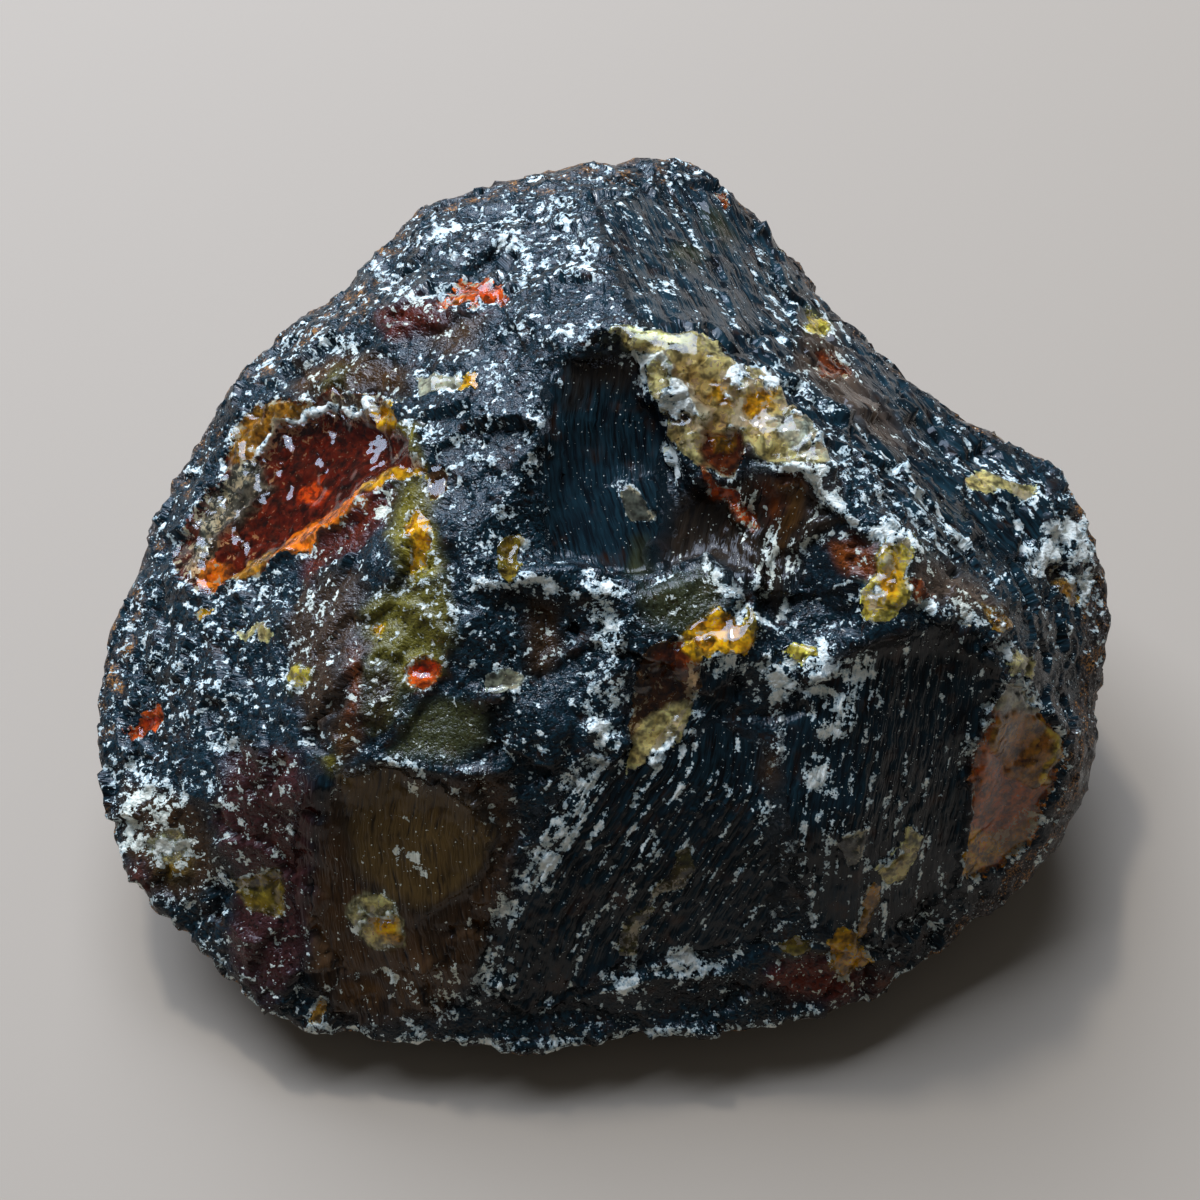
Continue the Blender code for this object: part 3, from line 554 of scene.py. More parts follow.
# The crisp ones reach the skin: the number is how far their face lies under it, in millimetres.
WINDOWS = {
    "left lens": (REDDISH, 0.7, (
        (-43.7, 24.6), (-38.5, 25.3), (-34.2, 26.2), (-29.4, 25.9), (-26.4, 24.9), (-25.5, 22.3),
        (-22.7, 17.5), (-22.1, 16.4), (-26, 14.7), (-30.7, 11.5), (-35, 7.6), (-39.4, 5.4), (-44.6, 2.8),
        (-48.9, 0.6), (-52.3, 1.9), (-53.6, 5.4), (-51, 11), (-48, 15.3), (-46.3, 18.8), (-45.6, 21.8))),
    "left lens rim": (OCHRE, -0.1, (
        (-46.3, 17.9), (-46.1, 20.5), (-43.7, 24.4), (-38.5, 25.1), (-35.5, 24.9), (-39.4, 22.7),
        (-42.4, 20.1), (-43.7, 17.5))),
    "left lens top": (MAUVE, 0.0, ((-35.5, 25.5), (-30.7, 25.9), (-26.4, 24.6), (-29, 23.6),
        (-33.7, 24.4))),
    "left lens back": (SMOKE, 0.1, (
        (-45.9, 17.5), (-42.8, 17.5), (-42, 14.9), (-44.6, 11.9), (-48, 8), (-50.2, 4.5), (-52.8, 4.5),
        (-51, 10.2), (-48, 15.3))),
    "left lens ember": (ORANGE, 0.2, ((-38.9, 15.3), (-35.9, 16.2), (-35, 14), (-36.8, 12.3),
        (-39.4, 13.2))),
    "left lens flame": (FLAME, 0.1, (
        (-40.4, 7.6), (-37.6, 9.7), (-34.2, 11.5), (-30.3, 13.6), (-29.2, 12.3), (-32.9, 8.9), (-37.6, 5.6),
        (-40.7, 5.4))),
    "left lens tip": (FLAME, 0.1, ((-49.8, 6), (-47.8, 5.2), (-47.4, 2.8), (-48.7, 0.9), (-50, 1.9))),
    "left lens foot": (OCHRE, 0.1, ((-47.2, 3.2), (-42.4, 6.7), (-40.7, 5.4), (-45, 2.8), (-47.6, 1.7))),
    "left lens corner": (YELLOW, -0.1, ((-29.2, 24.4), (-25.7, 25.1), (-25.7, 21.8), (-28.6, 21.4))),
    "left lens vein": (YELLOW, -0.1, ((-29.8, 14.5), (-27.3, 16.2), (-22.3, 16.6), (-22.5, 15.8),
        (-27.3, 14.5), (-29.8, 13.2))),
    "pit window": (ORANGE, 0.5, (
        (-20.8, 38.5), (-18.2, 39.1), (-16.9, 40.4), (-14.3, 40.2), (-11.7, 39.1), (-10.8, 38.1),
        (-15.1, 37.2), (-18.6, 36.5), (-20.3, 37.2))),
    "pit window ember": (FLAME, 0.1, ((-19.9, 38.3), (-17.3, 38.7), (-16.4, 37.8), (-18.6, 36.8))),
    "brow spark": (YELLOW, 0.1, ((-18, 26.8), (-16.4, 28.5), (-14.9, 28.8), (-15.6, 25.9), (-16.9, 25.7))),
    "brow flake": (FROST, -0.2, ((-23.1, 27.9), (-17.3, 28.5), (-17.5, 26.4), (-22.5, 25.9))),
    "olive strip light": (YELLOW, 0.0, ((-24.7, 8.9), (-23.1, 11.5), (-21.6, 9.7), (-22.1, 5),
        (-23.8, 3.2))),
    "round window": (BROWN, 0.2, ((-22.1, 16.2), (-19.9, 16.4), (-19.2, 14.5), (-20.8, 13.2), (-22.1, 14))),
    "oval chip": (OLIVE, -0.2, (
        (-12.3, 8), (-10.6, 8.9), (-9.5, 7.1), (-9.7, 4.1), (-11.7, 2.2), (-12.8, 3.7), (-12.8, 6.3))),
    "flake band": (STRAW, 0.1, (
        (1.1, 33.5), (4.1, 34.4), (5.9, 33.7), (10, 33.5), (13.2, 33), (15.5, 30.7), (17.4, 29.4),
        (21, 28.9), (22.4, 26.2), (24.7, 23), (26.9, 20.2), (28.8, 17), (24.2, 16.8), (20.5, 17.7),
        (18.7, 19.8), (17.4, 18.9), (16.4, 15.7), (12.8, 16.6), (10, 18.4), (8.7, 18.9), (8.7, 22.5),
        (6.8, 25.7), (5.9, 28.9), (4.6, 31.2))),
    "flake lights": (YELLOW, 0.1, ((14.4, 27.5), (16.4, 26.6), (16.2, 24.3), (15.1, 24.8), (14.2, 25.7))),
    "flake lights right": (YELLOW, 0.1, ((18.3, 25.7), (21, 26.6), (22.1, 24.8), (19.6, 23.2), (18, 23.9))),
    "flake dark": (UMBER, 0.4, ((7.3, 25.3), (10.5, 25.7), (11.9, 23.4), (10, 22.5), (8.2, 23))),
    "flake pale": (FROST, 0.0, ((19.9, 23), (24.2, 23), (26.9, 19.8), (28.8, 17), (25.1, 18.4),
        (21.9, 21.1))),
    "wet window": (RUST, 0.5, ((12.8, 21.1), (17.4, 21.6), (18.3, 18.9), (16.4, 15.2), (13.7, 16.6),
        (11.9, 18.9))),
    "wet window light": (YELLOW, 0.1, ((13.7, 20.7), (16.4, 21.1), (16.9, 18.9), (14.2, 18.4))),
    "orange thread": (ORANGE, 0.1, (
        (12.6, 17.5), (14.6, 14.7), (17.4, 13.4), (18.7, 11.1), (19.9, 8.8), (19, 8.8), (16.9, 11.6),
        (14.2, 13.1), (13, 15.2))),
    "upper lens window": (RUST, 0.3, ((26.5, 30.7), (29.2, 31.6), (31.5, 29.8), (31.1, 27.5), (27.9, 28))),
    "upper lens top": (LEMON, -0.1, ((26, 36.4), (27.9, 35.8), (29, 33.5), (26.9, 32.6), (25.6, 33))),
    "shoulder streak": (STRAW, -0.1, (
        (45.2, 15.7), (47.9, 16.3), (49.8, 15), (53.9, 13.8), (55, 12.7), (51.6, 12.5), (47, 13.6))),
    "shoulder hole": (UMBER, 0.9, ((56.4, 4.7), (58.2, 4.9), (58.7, 2.9), (57.1, 2), (56.2, 3.3))),
    "shoulder chip": (OCHRE, -0.1, ((57.5, 2.4), (60.7, 2.6), (60.7, 0.1), (58.5, -0.1))),
    "apex tip": (RUST, 0.0, ((14.6, 52.7), (16, 52.2), (16.4, 49.5), (15.1, 49.5))),
    "knob": (LEMON, -0.2, (
        (32.4, -2.1), (33.3, 2), (34.7, 5.2), (35.6, 8.4), (38.4, 8.1), (40, 6.5), (38.1, 2.9), (38.6, 0.1),
        (36.1, -2.6))),
    "knob light": (YELLOW, 0.0, ((35.2, 3.3), (37, 5.2), (38.1, 3.3), (37, -0.3), (35.2, 0.1))),
    "knob amber": (RUST, 0.1, ((38.1, 2.4), (40.6, 2.4), (41.3, 0.1), (39.3, -0.3))),
    "boss brown": (BROWN, 0.1, (
        (3.7, -19.6), (3.9, -14.2), (4.1, -9.6), (6.2, -6.4), (10, -4.6), (13.2, -5.9), (13, -11),
        (11.4, -14.6), (6.8, -15.1))),
    "boss rust": (RUST, 0.1, ((6.4, -7.8), (9.1, -4.8), (13.2, -5.7), (13, -8.2), (9.1, -8.7))),
    "boss yellow": (YELLOW, 0.0, (
        (10.3, -5.9), (10.5, -3.4), (13.2, -2.1), (14.6, -0.7), (17.8, -2.5), (19, -4.6), (17.8, -6.6),
        (15.1, -6.4), (12.3, -7.8))),
    "boss side": (OLIVE, 0.1, ((17.6, 0.2), (19.4, -1.8), (19.2, -5), (17.8, -3.2))),
    "pale fold": (STRAW, -0.2, (
        (5.3, -15.1), (8.7, -13.2), (11.2, -13.2), (11.9, -14.6), (10, -17.8), (7.3, -20.3), (3.4, -21.7),
        (3.9, -18.3))),
    "side flake": (LEMON, 0.0, ((22.8, -6.4), (27.2, -5.6), (27.6, -7.3), (24.2, -8.3))),
    "ochre chips": (OCHRE, 0.0, ((48.2, -0.9), (50.5, -0.9), (51.8, -3.4), (49.8, -3.7))),
    "ochre chips left": (OCHRE, 0.0, ((45.7, -1.8), (47.5, -1.8), (47.5, -3.2), (45.9, -3.2))),
    "right pocket": (HONEY, 0.7, (
        (52.1, -10.7), (54.3, -11.9), (55.7, -14.6), (58.5, -16.9), (58.8, -21), (56.6, -24.2),
        (55.7, -27.9), (53.9, -31.1), (50.7, -33.3), (47.5, -35.7), (45.7, -34.7), (46.1, -30.6),
        (47, -26.9), (46.5, -22.4), (47.5, -18.7), (48.9, -16), (50.2, -13.2))),
    "pocket disc": (OCHRE, -0.5, (
        (49.8, -17.4), (50, -15.1), (52.5, -14.4), (55.7, -15.1), (58.2, -17.4), (58.5, -20.5),
        (56.6, -23.1), (54.3, -23.7), (51.6, -21.9))),
    "pocket disc rim": (LEMON, -0.1, (
        (55.7, -15.1), (58.2, -17.4), (58.5, -20.5), (56.6, -23.1), (54.3, -23.7), (56.2, -21.9),
        (57.5, -19.6), (56.9, -17.4))),
    "pocket tip": (YELLOW, 0.0, ((46.1, -29.7), (48.2, -28.5), (50.9, -31.5), (47.5, -35.7),
        (45.6, -34.7))),
    "pocket embers": (OCHRE, 0.0, ((49.8, -32.4), (51.6, -29.7), (54.8, -28.3), (53.9, -31.1),
        (50.9, -33.3))),
    "pocket brow": (FROST, -0.2, ((52.1, -10.5), (54.3, -11.6), (55.5, -14.4), (53, -14.5), (50, -14.2),
        (50.2, -13))),
    "green chip": (STRAW, -0.2, ((51.6, -5.7), (53.2, -7.3), (54.1, -9.1), (52.7, -9.8), (51.8, -8.2))),
    "drop": (STRAW, -0.4, (
        (34.6, -33.8), (36.1, -32.4), (37.5, -31.5), (37.8, -29.2), (39.2, -28.4), (40.6, -29.7),
        (40.3, -32), (38.1, -35.2), (36.1, -35.5))),
    "stick": (OCHRE, -0.2, ((33.1, -38.8), (34, -36.3), (35.1, -35.8), (34.6, -38.8), (33.8, -42.5),
        (32.1, -42.9))),
    "low cluster": (YELLOW, -0.1, (
        (28.7, -42.5), (31.1, -41), (33.1, -42), (33.9, -44.3), (32.9, -46.6), (30.6, -47.5),
        (28.8, -45.7))),
    "low olive": (OLIVE, 0.0, ((22.3, -43.4), (24.7, -42), (26.6, -42.9), (26, -44.4), (23.7, -44.5))),
    "olive wedge": (MOSS, -0.1, (
        (10.5, -30.8), (12, -33.8), (10.3, -36.3), (6.6, -37.2), (5.1, -40.6), (4.1, -44.8), (1.8, -44.8),
        (2.2, -41.1), (5.9, -37.4), (8.7, -34.2))),
    "olive ledge glow": (ORANGE, 0.1, ((-24, -8.8), (-22.1, -7.3), (-20.1, -8), (-20.3, -9.9),
        (-21.8, -11.6), (-23.4, -10.6))),
    "olive ledge spark": (YELLOW, 0.0, ((-28.8, -3), (-27.7, -2.3), (-27, -3.4), (-27.9, -4.3))),
    "left window": (ORANGE, 0.4, ((-60.2, -15.3), (-57.5, -14.7), (-55.9, -13.1), (-54.9, -14.2),
        (-56.7, -16.6), (-59.3, -17.1))),
    "crust beige": (STRAW, 0.0, ((-56, -29.2), (-52.3, -28.5), (-51.6, -32.2), (-54.5, -32.7),
        (-56.5, -31.3))),
    "square chip": (LEMON, -0.3, ((-39.8, -9), (-38.1, -8.1), (-36, -8.5), (-36.4, -10.2), (-38.6, -10.9))),
    "curl": (STRAW, -0.2, ((-46.3, -3.8), (-43.3, -2.5), (-41.1, -3.8), (-41.7, -5.8), (-42.8, -5.4),
        (-42.8, -3.8), (-45.4, -4.5))),
    "green cluster": (STRAW, -0.2, (
        (-31.6, -39.8), (-28.6, -36.9), (-26.2, -38), (-24.4, -40), (-25.1, -43.1), (-27.7, -43.5),
        (-29.8, -42.1))),
    "green cluster light": (YELLOW, 0.0, ((-28.6, -40), (-25.5, -40), (-25.3, -43), (-27.3, -43))),
    "olive flake": (OLIVE, -0.2, ((-46.3, -35.2), (-41.1, -33.7), (-39.2, -36.5), (-40.1, -39.3),
        (-43.7, -38.8), (-45.5, -36.9))),
    "small spark": (YELLOW, 0.1, ((-50.8, -1.5), (-49.5, -1.2), (-49.4, -2.4), (-50.5, -2.5))),
    "grey chip": (FROST, -0.2, ((-14.7, -9.5), (-12.1, -8.7), (-9.5, -9.7), (-10, -11.1), (-11.8, -11.9),
        (-14.6, -11))),
    "bottom ochre": (OCHRE, 0.0, ((-37, -53.2), (-35.5, -50.4), (-34.2, -50.6), (-34.8, -53.2))),
    "hollow flake": (SMOKE, -0.1, ((2.6, 14.1), (4.3, 14.3), (6.9, 11.5), (6.4, 10.1), (3.2, 10.1))),
    "fan flake": (SMOKE, -0.1, ((29.7, -29.9), (33.6, -28.7), (33, -33), (31.1, -33.9))),
}
# Each flake deepens from its rim, the darker ones more steeply. A place that is in none counts as lying
# far outside.
SLOPES, SHALLOW = {REDDISH: 0.55, RUST: 0.4, BROWN: 0.4, ORANGE: 0.22, FLAME: 0.22}, 0.14
FAR_OUTSIDE, CRISP_EDGE = 4.0, 0.35
tint = np.zeros((len(places), 3))
glow = np.zeros(len(places))
clear = np.full(len(places), -FAR_OUTSIDE)
steep = np.zeros(len(places))


def close_to(outline, reach):
    """The numbers of the front's vertices that lie within reach of the outline's box, in millimetres."""
    low, high = np.min(outline, axis=0) - reach, np.max(outline, axis=0) + reach
    return np.flatnonzero(((sheet_ragged > low) & (sheet_ragged < high)).all(axis=1) & (front > 0))


def paint(spots, colour, share):
    """Lays a colour over the tint of these vertices, as thickly as share says for each."""
    tint[spots] = tint[spots] * (1 - share) + np.array(linear(colour)[:3]) * share


for colour, strength, outline in GLOWS.values():
    near = close_to(outline, 3)
    share = ramp(depth_inside(outline, sheet_ragged[near]), -1.2, 1.6) * front[near]
    paint(near, colour, np.maximum(share, (glow[near] < 0.05) * (share > 0))[:, None])
    glow[near] = np.maximum(glow[near] * (1 - share), share * strength)
for colour, sunk, outline in WINDOWS.values():
    near = close_to(outline, 4)
    inside = depth_inside(outline, sheet_ragged[near])
    share = ramp(inside, -CRISP_EDGE, CRISP_EDGE)
    unpainted = (clear[near] < -0.5) * (glow[near] < 0.1)
    paint(near, colour, np.clip(ramp(inside, -2.0, 0.0) * unpainted + share, 0, 1)[:, None])
    clear[near] = np.maximum(clear[near], inside * front[near] - FAR_OUTSIDE * (1 - front[near]))
    steep[near] = steep[near] * (1 - share) + SLOPES.get(colour, SHALLOW) * share
    lift[near] -= front[near] * sunk * share


# The same clear flakes show on the sides and the back: each has its colour and its radius, then where
# it lies on the flank, by its turn in degrees clockwise from the back, seen from above, and by its
# height in millimetres.
FLANK_WINDOWS = {
    "back ember": (RUST, 7.5, -12, 30),
    "back flake": (OLIVE, 5.0, 24, 38),
    "back spark": (FLAME, 2.4, 31, 31),
    "back honey": (YELLOW, 3.2, -38, 24),
    "back brown": (BROWN, 6.5, 52, 22),
    "left flank ember": (RUST, 5.5, -78, 20),
    "left flank spark": (ORANGE, 2.2, -62, 31),
    "left flank olive": (OLIVE, 4.2, -96, 12),
    "right flank honey": (OCHRE, 4.8, 74, 30),
    "right flank ember": (RUST, 6.0, 98, 17),
    "right flank spark": (FLAME, 2.0, 84, 20),
    "right foot ember": (RUST, 3.6, 62, 10),
}
LEVEL_BAND, FLANK_RAGGED = 2 * MM, 1.6
for colour, radius, turn, height in FLANK_WINDOWS.values():
    aim = np.array([math.sin(math.radians(turn)), math.cos(math.radians(turn))])
    level = np.flatnonzero(np.abs(places[:, 2] - height * MM) < LEVEL_BAND)
    sideways = np.abs(places[level, :2] @ (aim[1], -aim[0]))
    middle = places[level[np.argmax(places[level, :2] @ aim - 2 * sideways)]]
    inside = radius - np.linalg.norm((places - middle) / MM + FLANK_RAGGED * wander_all, axis=1)
    share = ramp(inside, -CRISP_EDGE, CRISP_EDGE)
    paint(slice(None), colour, share[:, None])
    clear = np.maximum(clear, inside)
    steep = steep * (1 - share) + SLOPES.get(colour, SHALLOW) * share


# Crushed lines: along a break the resin is bruised white, in chips like broken glass. A few of the lines
# are painted highlights instead, glints laid on as white chips.
# Each line has its half width in millimetres and how thick the chips lie there.
CRUSHED = {
    "main streak": (1.6, 0.9, ((0, -1.5), (1.3, -9.3), (0.4, -16.6), (-3.5, -25.3), (-7.8, -34.8))),
    "main streak foot": (1.2, 0.6, ((-7.8, -34.8), (-12.1, -38.7), (-14.3, -46.9), (-16.9, -50.8))),
    "main streak head": (2.2, 0.7, ((-0.5, -0.9), (1.8, -5.5), (0.7, -10), (0, -16.9))),
    "fan streak": (1.3, 0.7, ((0, -16.9), (-2.3, -24.2), (-5.9, -30.1), (-10, -36.1), (-12.8, -42))),
    "fan streak right": (0.8, 0.5, ((11, -24.2), (8.2, -28.8), (4.1, -35.2), (0.9, -39.3))),
    "flake crest": (0.9, 0.7, ((28.8, 17), (26.9, 20.2), (23.3, 24.3), (22.4, 27.1))),
    "flake vein": (1.1, 1.0, ((4.8, 31.2), (6.8, 27.1), (10, 23), (13.2, 21.6))),
    "flake vein middle": (1.2, 1.0, ((6.8, 30.7), (9.1, 27.1), (11.9, 25.3), (13.2, 23), (12.8, 21.1))),
    "flake vein right": (0.9, 1.0, ((17.8, 28.9), (18.3, 25.7), (17.4, 23))),
    "flake inner": (1.0, 1.0, ((6, 31.1), (8.1, 28.7), (9.8, 26), (12.2, 24.9), (13.3, 23.2))),
    "flake across": (1.1, 1.0, ((11.6, 22.5), (14.3, 22.9), (17.1, 22.2), (18.4, 21.8))),
    "flake right edge": (1.2, 1.0, ((23.6, 23.6), (26, 22.2), (27.7, 19.8), (28.8, 17.4))),
    "flake knot right": (1.4, 1.0, ((17.8, 28.4), (19.5, 28.4), (20.5, 27.4))),
    "flake foot left": (0.5, 0.9, ((9.5, 19.1), (9.8, 17), (9.5, 13.6))),
    "flake middle": (0.5, 0.9, ((16, 26.3), (17.1, 24.9), (16.7, 22.9))),
    "flake knot": (1.6, 1.0, ((17.4, 28), (19.6, 28), (21, 27.1))),
    "flake foot": (0.7, 0.8, ((8.7, 18.9), (10.5, 19.8), (12.3, 20.2))),
    "scoop edge": (0.8, 1.0, ((20.5, 17.5), (24.2, 16.6), (26.9, 15.4), (29.2, 12), (31.1, 9.7),
        (33.8, 8.4), (36.1, 8.8))),
    "scoop edge low": (0.5, 0.8, ((22.8, -2.1), (24.2, 2.9), (26.5, 7), (28.8, 8.4))),
    "lip": (0.7, 1.0, ((-16.4, 1.5), (-9.5, 2.4), (-4.8, 1.5), (-0.9, 1.5), (1.7, 0.6))),
    "lip right": (0.5, 0.6, ((-2.3, 2.6), (1.4, 0.8), (4.6, -0.1), (10, 2.4))),
    "hollow left": (1.3, 0.6, ((-12.1, 13.2), (-11.7, 10.6), (-14.3, 7.6), (-16.4, 4.1))),
    "hollow left upper": (1.4, 0.5, ((-12.1, 28.8), (-13.4, 23.1), (-15.6, 18.8), (-12.1, 14))),
    "hollow speckles": (2.0, 0.35, ((-9.1, 26.2), (-6.5, 21.8), (-9.5, 15.8))),
    "top patch": (1.8, 0.6, ((-15.6, 44.3), (-10.8, 45.6), (-6.9, 43), (-9.1, 40.9))),
    "top patch right": (1.6, 0.65, ((-9.1, 48.7), (-4.8, 48.7), (-2.6, 44.8), (-1.7, 41.7))),
    "top streak": (0.9, 0.8, ((-23.8, 45.2), (-18.6, 46.5), (-12.1, 48.2))),
    "top left": (1.4, 0.7, ((-27.3, 41.7), (-26.4, 39.6), (-22.9, 37.4), (-20.3, 38.3))),
    "top foot": (1.6, 0.5, ((-14.3, 34.8), (-8.2, 34.4), (-3, 33.1), (0.9, 34.8))),
    "crust edge": (2.2, 0.55, ((-41.1, 31.4), (-35.9, 33.1), (-32.4, 32.2), (-38.5, 30.9))),
    "lens band": (1.0, 0.95, ((-43, 18.8), (-40.7, 21.4), (-37.2, 23.1), (-33.3, 23.8), (-29.4, 24.4))),
    "lens side": (1.3, 0.7, ((-45.4, 17.5), (-46.7, 13.6), (-49.3, 10.2), (-51.5, 6.3), (-51.5, 2.8))),
    "lens right": (1.6, 0.5, ((-25.5, 22.3), (-22.1, 21.4), (-18.6, 20.1), (-19.5, 17.5))),
    "shadow lip": (0.9, 0.8, ((-27.7, 11), (-26, 13.2), (-27.3, 11.9))),
    "olive top": (0.7, 0.55, ((-28.6, 0.7), (-23.8, 2), (-19.5, 2.4), (-19, 0.3))),
    "olive right": (0.7, 0.5, ((-18.6, -0.6), (-17.7, -4.9), (-19.5, -6.7))),
    "boss side": (1.2, 0.9, ((14.6, 2.7), (16.9, 1.4), (17.8, -0.9), (16.9, -2.3))),
    "step streak": (0.9, 0.9, ((19.6, -2.7), (21.9, -4.1), (24.7, -3.7), (27.9, -4.8))),
    "ledge patch": (1.9, 0.9, ((22.8, -10), (26, -10.5), (29.2, -8.2), (32.9, -8.2), (32.4, -10))),
    "ledge run": (1.4, 0.85, ((28.8, -11.9), (30.6, -14.6), (28.3, -17.4), (27.4, -20.5), (26.9, -23.3))),
    "ledge run left": (1.1, 0.8, ((21.9, -12.8), (22.8, -15.5), (22.4, -18.7), (21.7, -21.9))),
    "ledge right": (0.8, 0.5, ((35.6, -11), (34.7, -14.6), (34.7, -17.4))),
    "boss hem": (0.8, 0.8, ((12.8, -8.7), (14.2, -8.2), (16.9, -7.3), (20.5, -8.7))),
    "knob chips": (1.4, 0.8, ((34.2, 0.1), (35.2, 4.2), (37.4, 7.4), (38.8, 6.5))),
    "knob crust": (0.9, 0.8, ((37.9, -0.3), (41.6, -0.8), (45.2, -1.7), (49.8, -2.6))),
    "knob foot": (1.1, 0.7, ((34.2, -1.8), (37, -0.9), (41.1, -0.9), (46.1, -1.8), (48.9, -4.1))),
    "pocket lip": (0.8, 0.7, ((51.6, -10), (48.9, -14.6), (47.5, -17.8), (45.7, -20.5))),
    "pocket brow": (1.0, 0.7, ((51.6, -5.9), (54.3, -12.3), (55.7, -14.2))),
    # A painted highlight: the sparkle at the pocket's low end, laid on as white chips.
    "pocket sparkle": (0.7, 0.7, ((49.8, -31.1), (52.5, -28.8), (55.7, -26.9))),
    "shoulder patch": (1.9, 1.0, ((55.3, 5.2), (57.1, 8.4), (60.7, 8.4), (60.3, 6.1))),
    "shoulder low": (1.6, 0.85, ((60.7, 2.9), (62.1, -1.7))),
    "upper run": (1.2, 0.45, ((19.6, 44), (22.4, 35.3), (24.2, 32.1), (25.6, 28))),
    "upper run middle": (1.4, 0.5, ((20.5, 41.7), (21.9, 37.1), (24.2, 32.6))),
    "upper run low": (1.2, 0.5, ((24.2, 27.1), (29.7, 21.1), (33.8, 15.2), (39.3, 9.3), (43.4, 6.1))),
    "upper run right": (1.2, 0.4, ((39.7, 21.6), (41.6, 17.9), (46.1, 13.4), (52.1, 9.7))),
    "upper run gully": (1.0, 0.35, ((16.9, 35.3), (20.5, 30.7), (24.2, 27.1))),
    "upper knot": (0.8, 0.7, ((7.3, 39.4), (9.1, 39.4))),
    "brow chips": (1.6, 0.55, ((32.4, 15.2), (36.1, 10.6), (40.6, 7.9), (42.5, 4.7))),
    "left crust": (3.0, 0.85, ((-58.8, -23.1), (-56.7, -26.1), (-58.8, -27.9))),
    "left crust low": (2.2, 0.8, ((-58.8, -27.9), (-55.4, -30.9), (-52.8, -31.7))),
    "left crust right": (1.4, 0.7, ((-54.1, -21.4), (-52.3, -22.7), (-53.2, -25.3))),
    "left speckles": (3.0, 0.4, ((-55.8, -7.1), (-51, -4.9), (-47.2, -3.6))),
    "left speckles low": (3.2, 0.38, ((-50.2, -14.4), (-44.6, -10.6), (-38.5, -7.1))),
    "left speckles foot": (2.6, 0.45, ((-48, -24.4), (-43.7, -22.7), (-40.2, -22.7))),
    "left edge chips": (1.6, 0.5, ((-57.5, 0.7), (-58.8, -3.6), (-60.1, -9.3))),
    "under lens": (1.1, 0.6, ((-48.5, 0.3), (-42.8, 1.6), (-37.6, 0.3), (-35, -1.5))),
    "white green": (1.0, 0.9, ((-39.4, -10.1), (-37.2, -9.7))),
    "cluster chips": (1.2, 0.9, ((-30.7, -40.8), (-28.6, -38.2), (-26.8, -40))),
    # Painted highlights: the window's glint along the brown plate's top edge, laid on as white chips.
    "plate glint": (0.5, 0.9, ((-26.4, -19.7), (-23.8, -20.5), (-22.1, -21.3))),
    "plate glint right": (0.5, 0.7, ((-19.5, -20.1), (-17.3, -21.2), (-13.4, -22.2))),
    "plate chip": (0.9, 0.8, ((-23.8, -23.5), (-22.9, -24))),
    "plate scratch": (0.6, 0.8, ((-25.1, -31.3), (-23.4, -32.6), (-22.5, -34.3))),
    "notch lip": (0.6, 0.5, ((-54.9, -40.8), (-51, -42.1), (-48, -44.3))),
    "rim": (0.9, 0.7, ((-44.6, -50.8), (-39.4, -53.8), (-35, -54.3), (-29.4, -54.6), (-26.4, -56))),
    "rim middle": (1.1, 0.6, ((-26.4, -56), (-22.1, -55.1), (-17.7, -55.8), (-11.2, -56.8), (-4.8, -56),
        (2.5, -54.2))),
    "rim right": (1.0, 0.6, ((3.2, -54.3), (13.2, -54.8), (20.5, -53.7), (30.6, -51.8), (34.2, -49.3))),
    "rim chips": (1.6, 0.6, ((-21.2, -52.5), (-19.9, -50.8), (-17.7, -51.2))),
    "ridge chips": (0.9, 0.7, ((0.9, -47.5), (5, -47), (8.7, -45.7))),
    "ridge knot": (1.2, 1.0, ((9.1, -45.2), (11.4, -45.2), (14.2, -47))),
    "ridge line": (0.5, 0.6, ((15.1, -45.7), (20.5, -42.9), (23.3, -43.8))),
    "face chips": (1.3, 0.5, ((16.4, -22.4), (18.7, -25.1), (20.5, -26.5))),
    "face chips low": (1.2, 0.45, ((22.4, -33.8), (24.7, -31.5), (28.8, -30.1))),
    "wedge chips": (1.0, 0.5, ((9.1, -37), (11.4, -34.7), (15.1, -34.2))),
    "drop edge": (0.4, 0.8, ((36.1, -32.9), (38.1, -31.5), (38.8, -29.2), (40, -29))),
    "stick end": (0.6, 0.8, ((40.6, -41.1), (42.2, -41.3))),
    "left low chips": (1.2, 0.7, ((-54.9, -37.4), (-53.6, -39.1), (-51, -37.8))),
    "flake chips": (1.1, 0.8, ((-48, -35.2), (-46.7, -35.6), (-45, -36.5))),
    # A painted highlight: a glint on the left face, laid on as white chips.
    "left glint chips": (1.2, 0.6, ((-48.9, -17.9), (-46.7, -17.5), (-45.9, -19.2))),
    "inner curve": (0.35, 0.8, ((-27.7, -46.5), (-25.7, -46.9), (-26, -49.1), (-26.6, -50.8))),
}
patchy = 0.75 + 0.7 * noise_at(places, 2.6 * MM, 4)
crushed = np.zeros(len(places))
for half_width, thickness, line in CRUSHED.values():
    near = close_to(line, half_width * 2.5 + 1)
    away = np.abs(flow_along(line, sheet_ragged[near])[0])
    fading = 1 - ramp(away, half_width * 0.2, half_width * 2.2)
    chips = thickness * fading * np.clip(patchy[near], 0.25, 1.2)
    crushed[near] = np.maximum(crushed[near], chips * front[near])


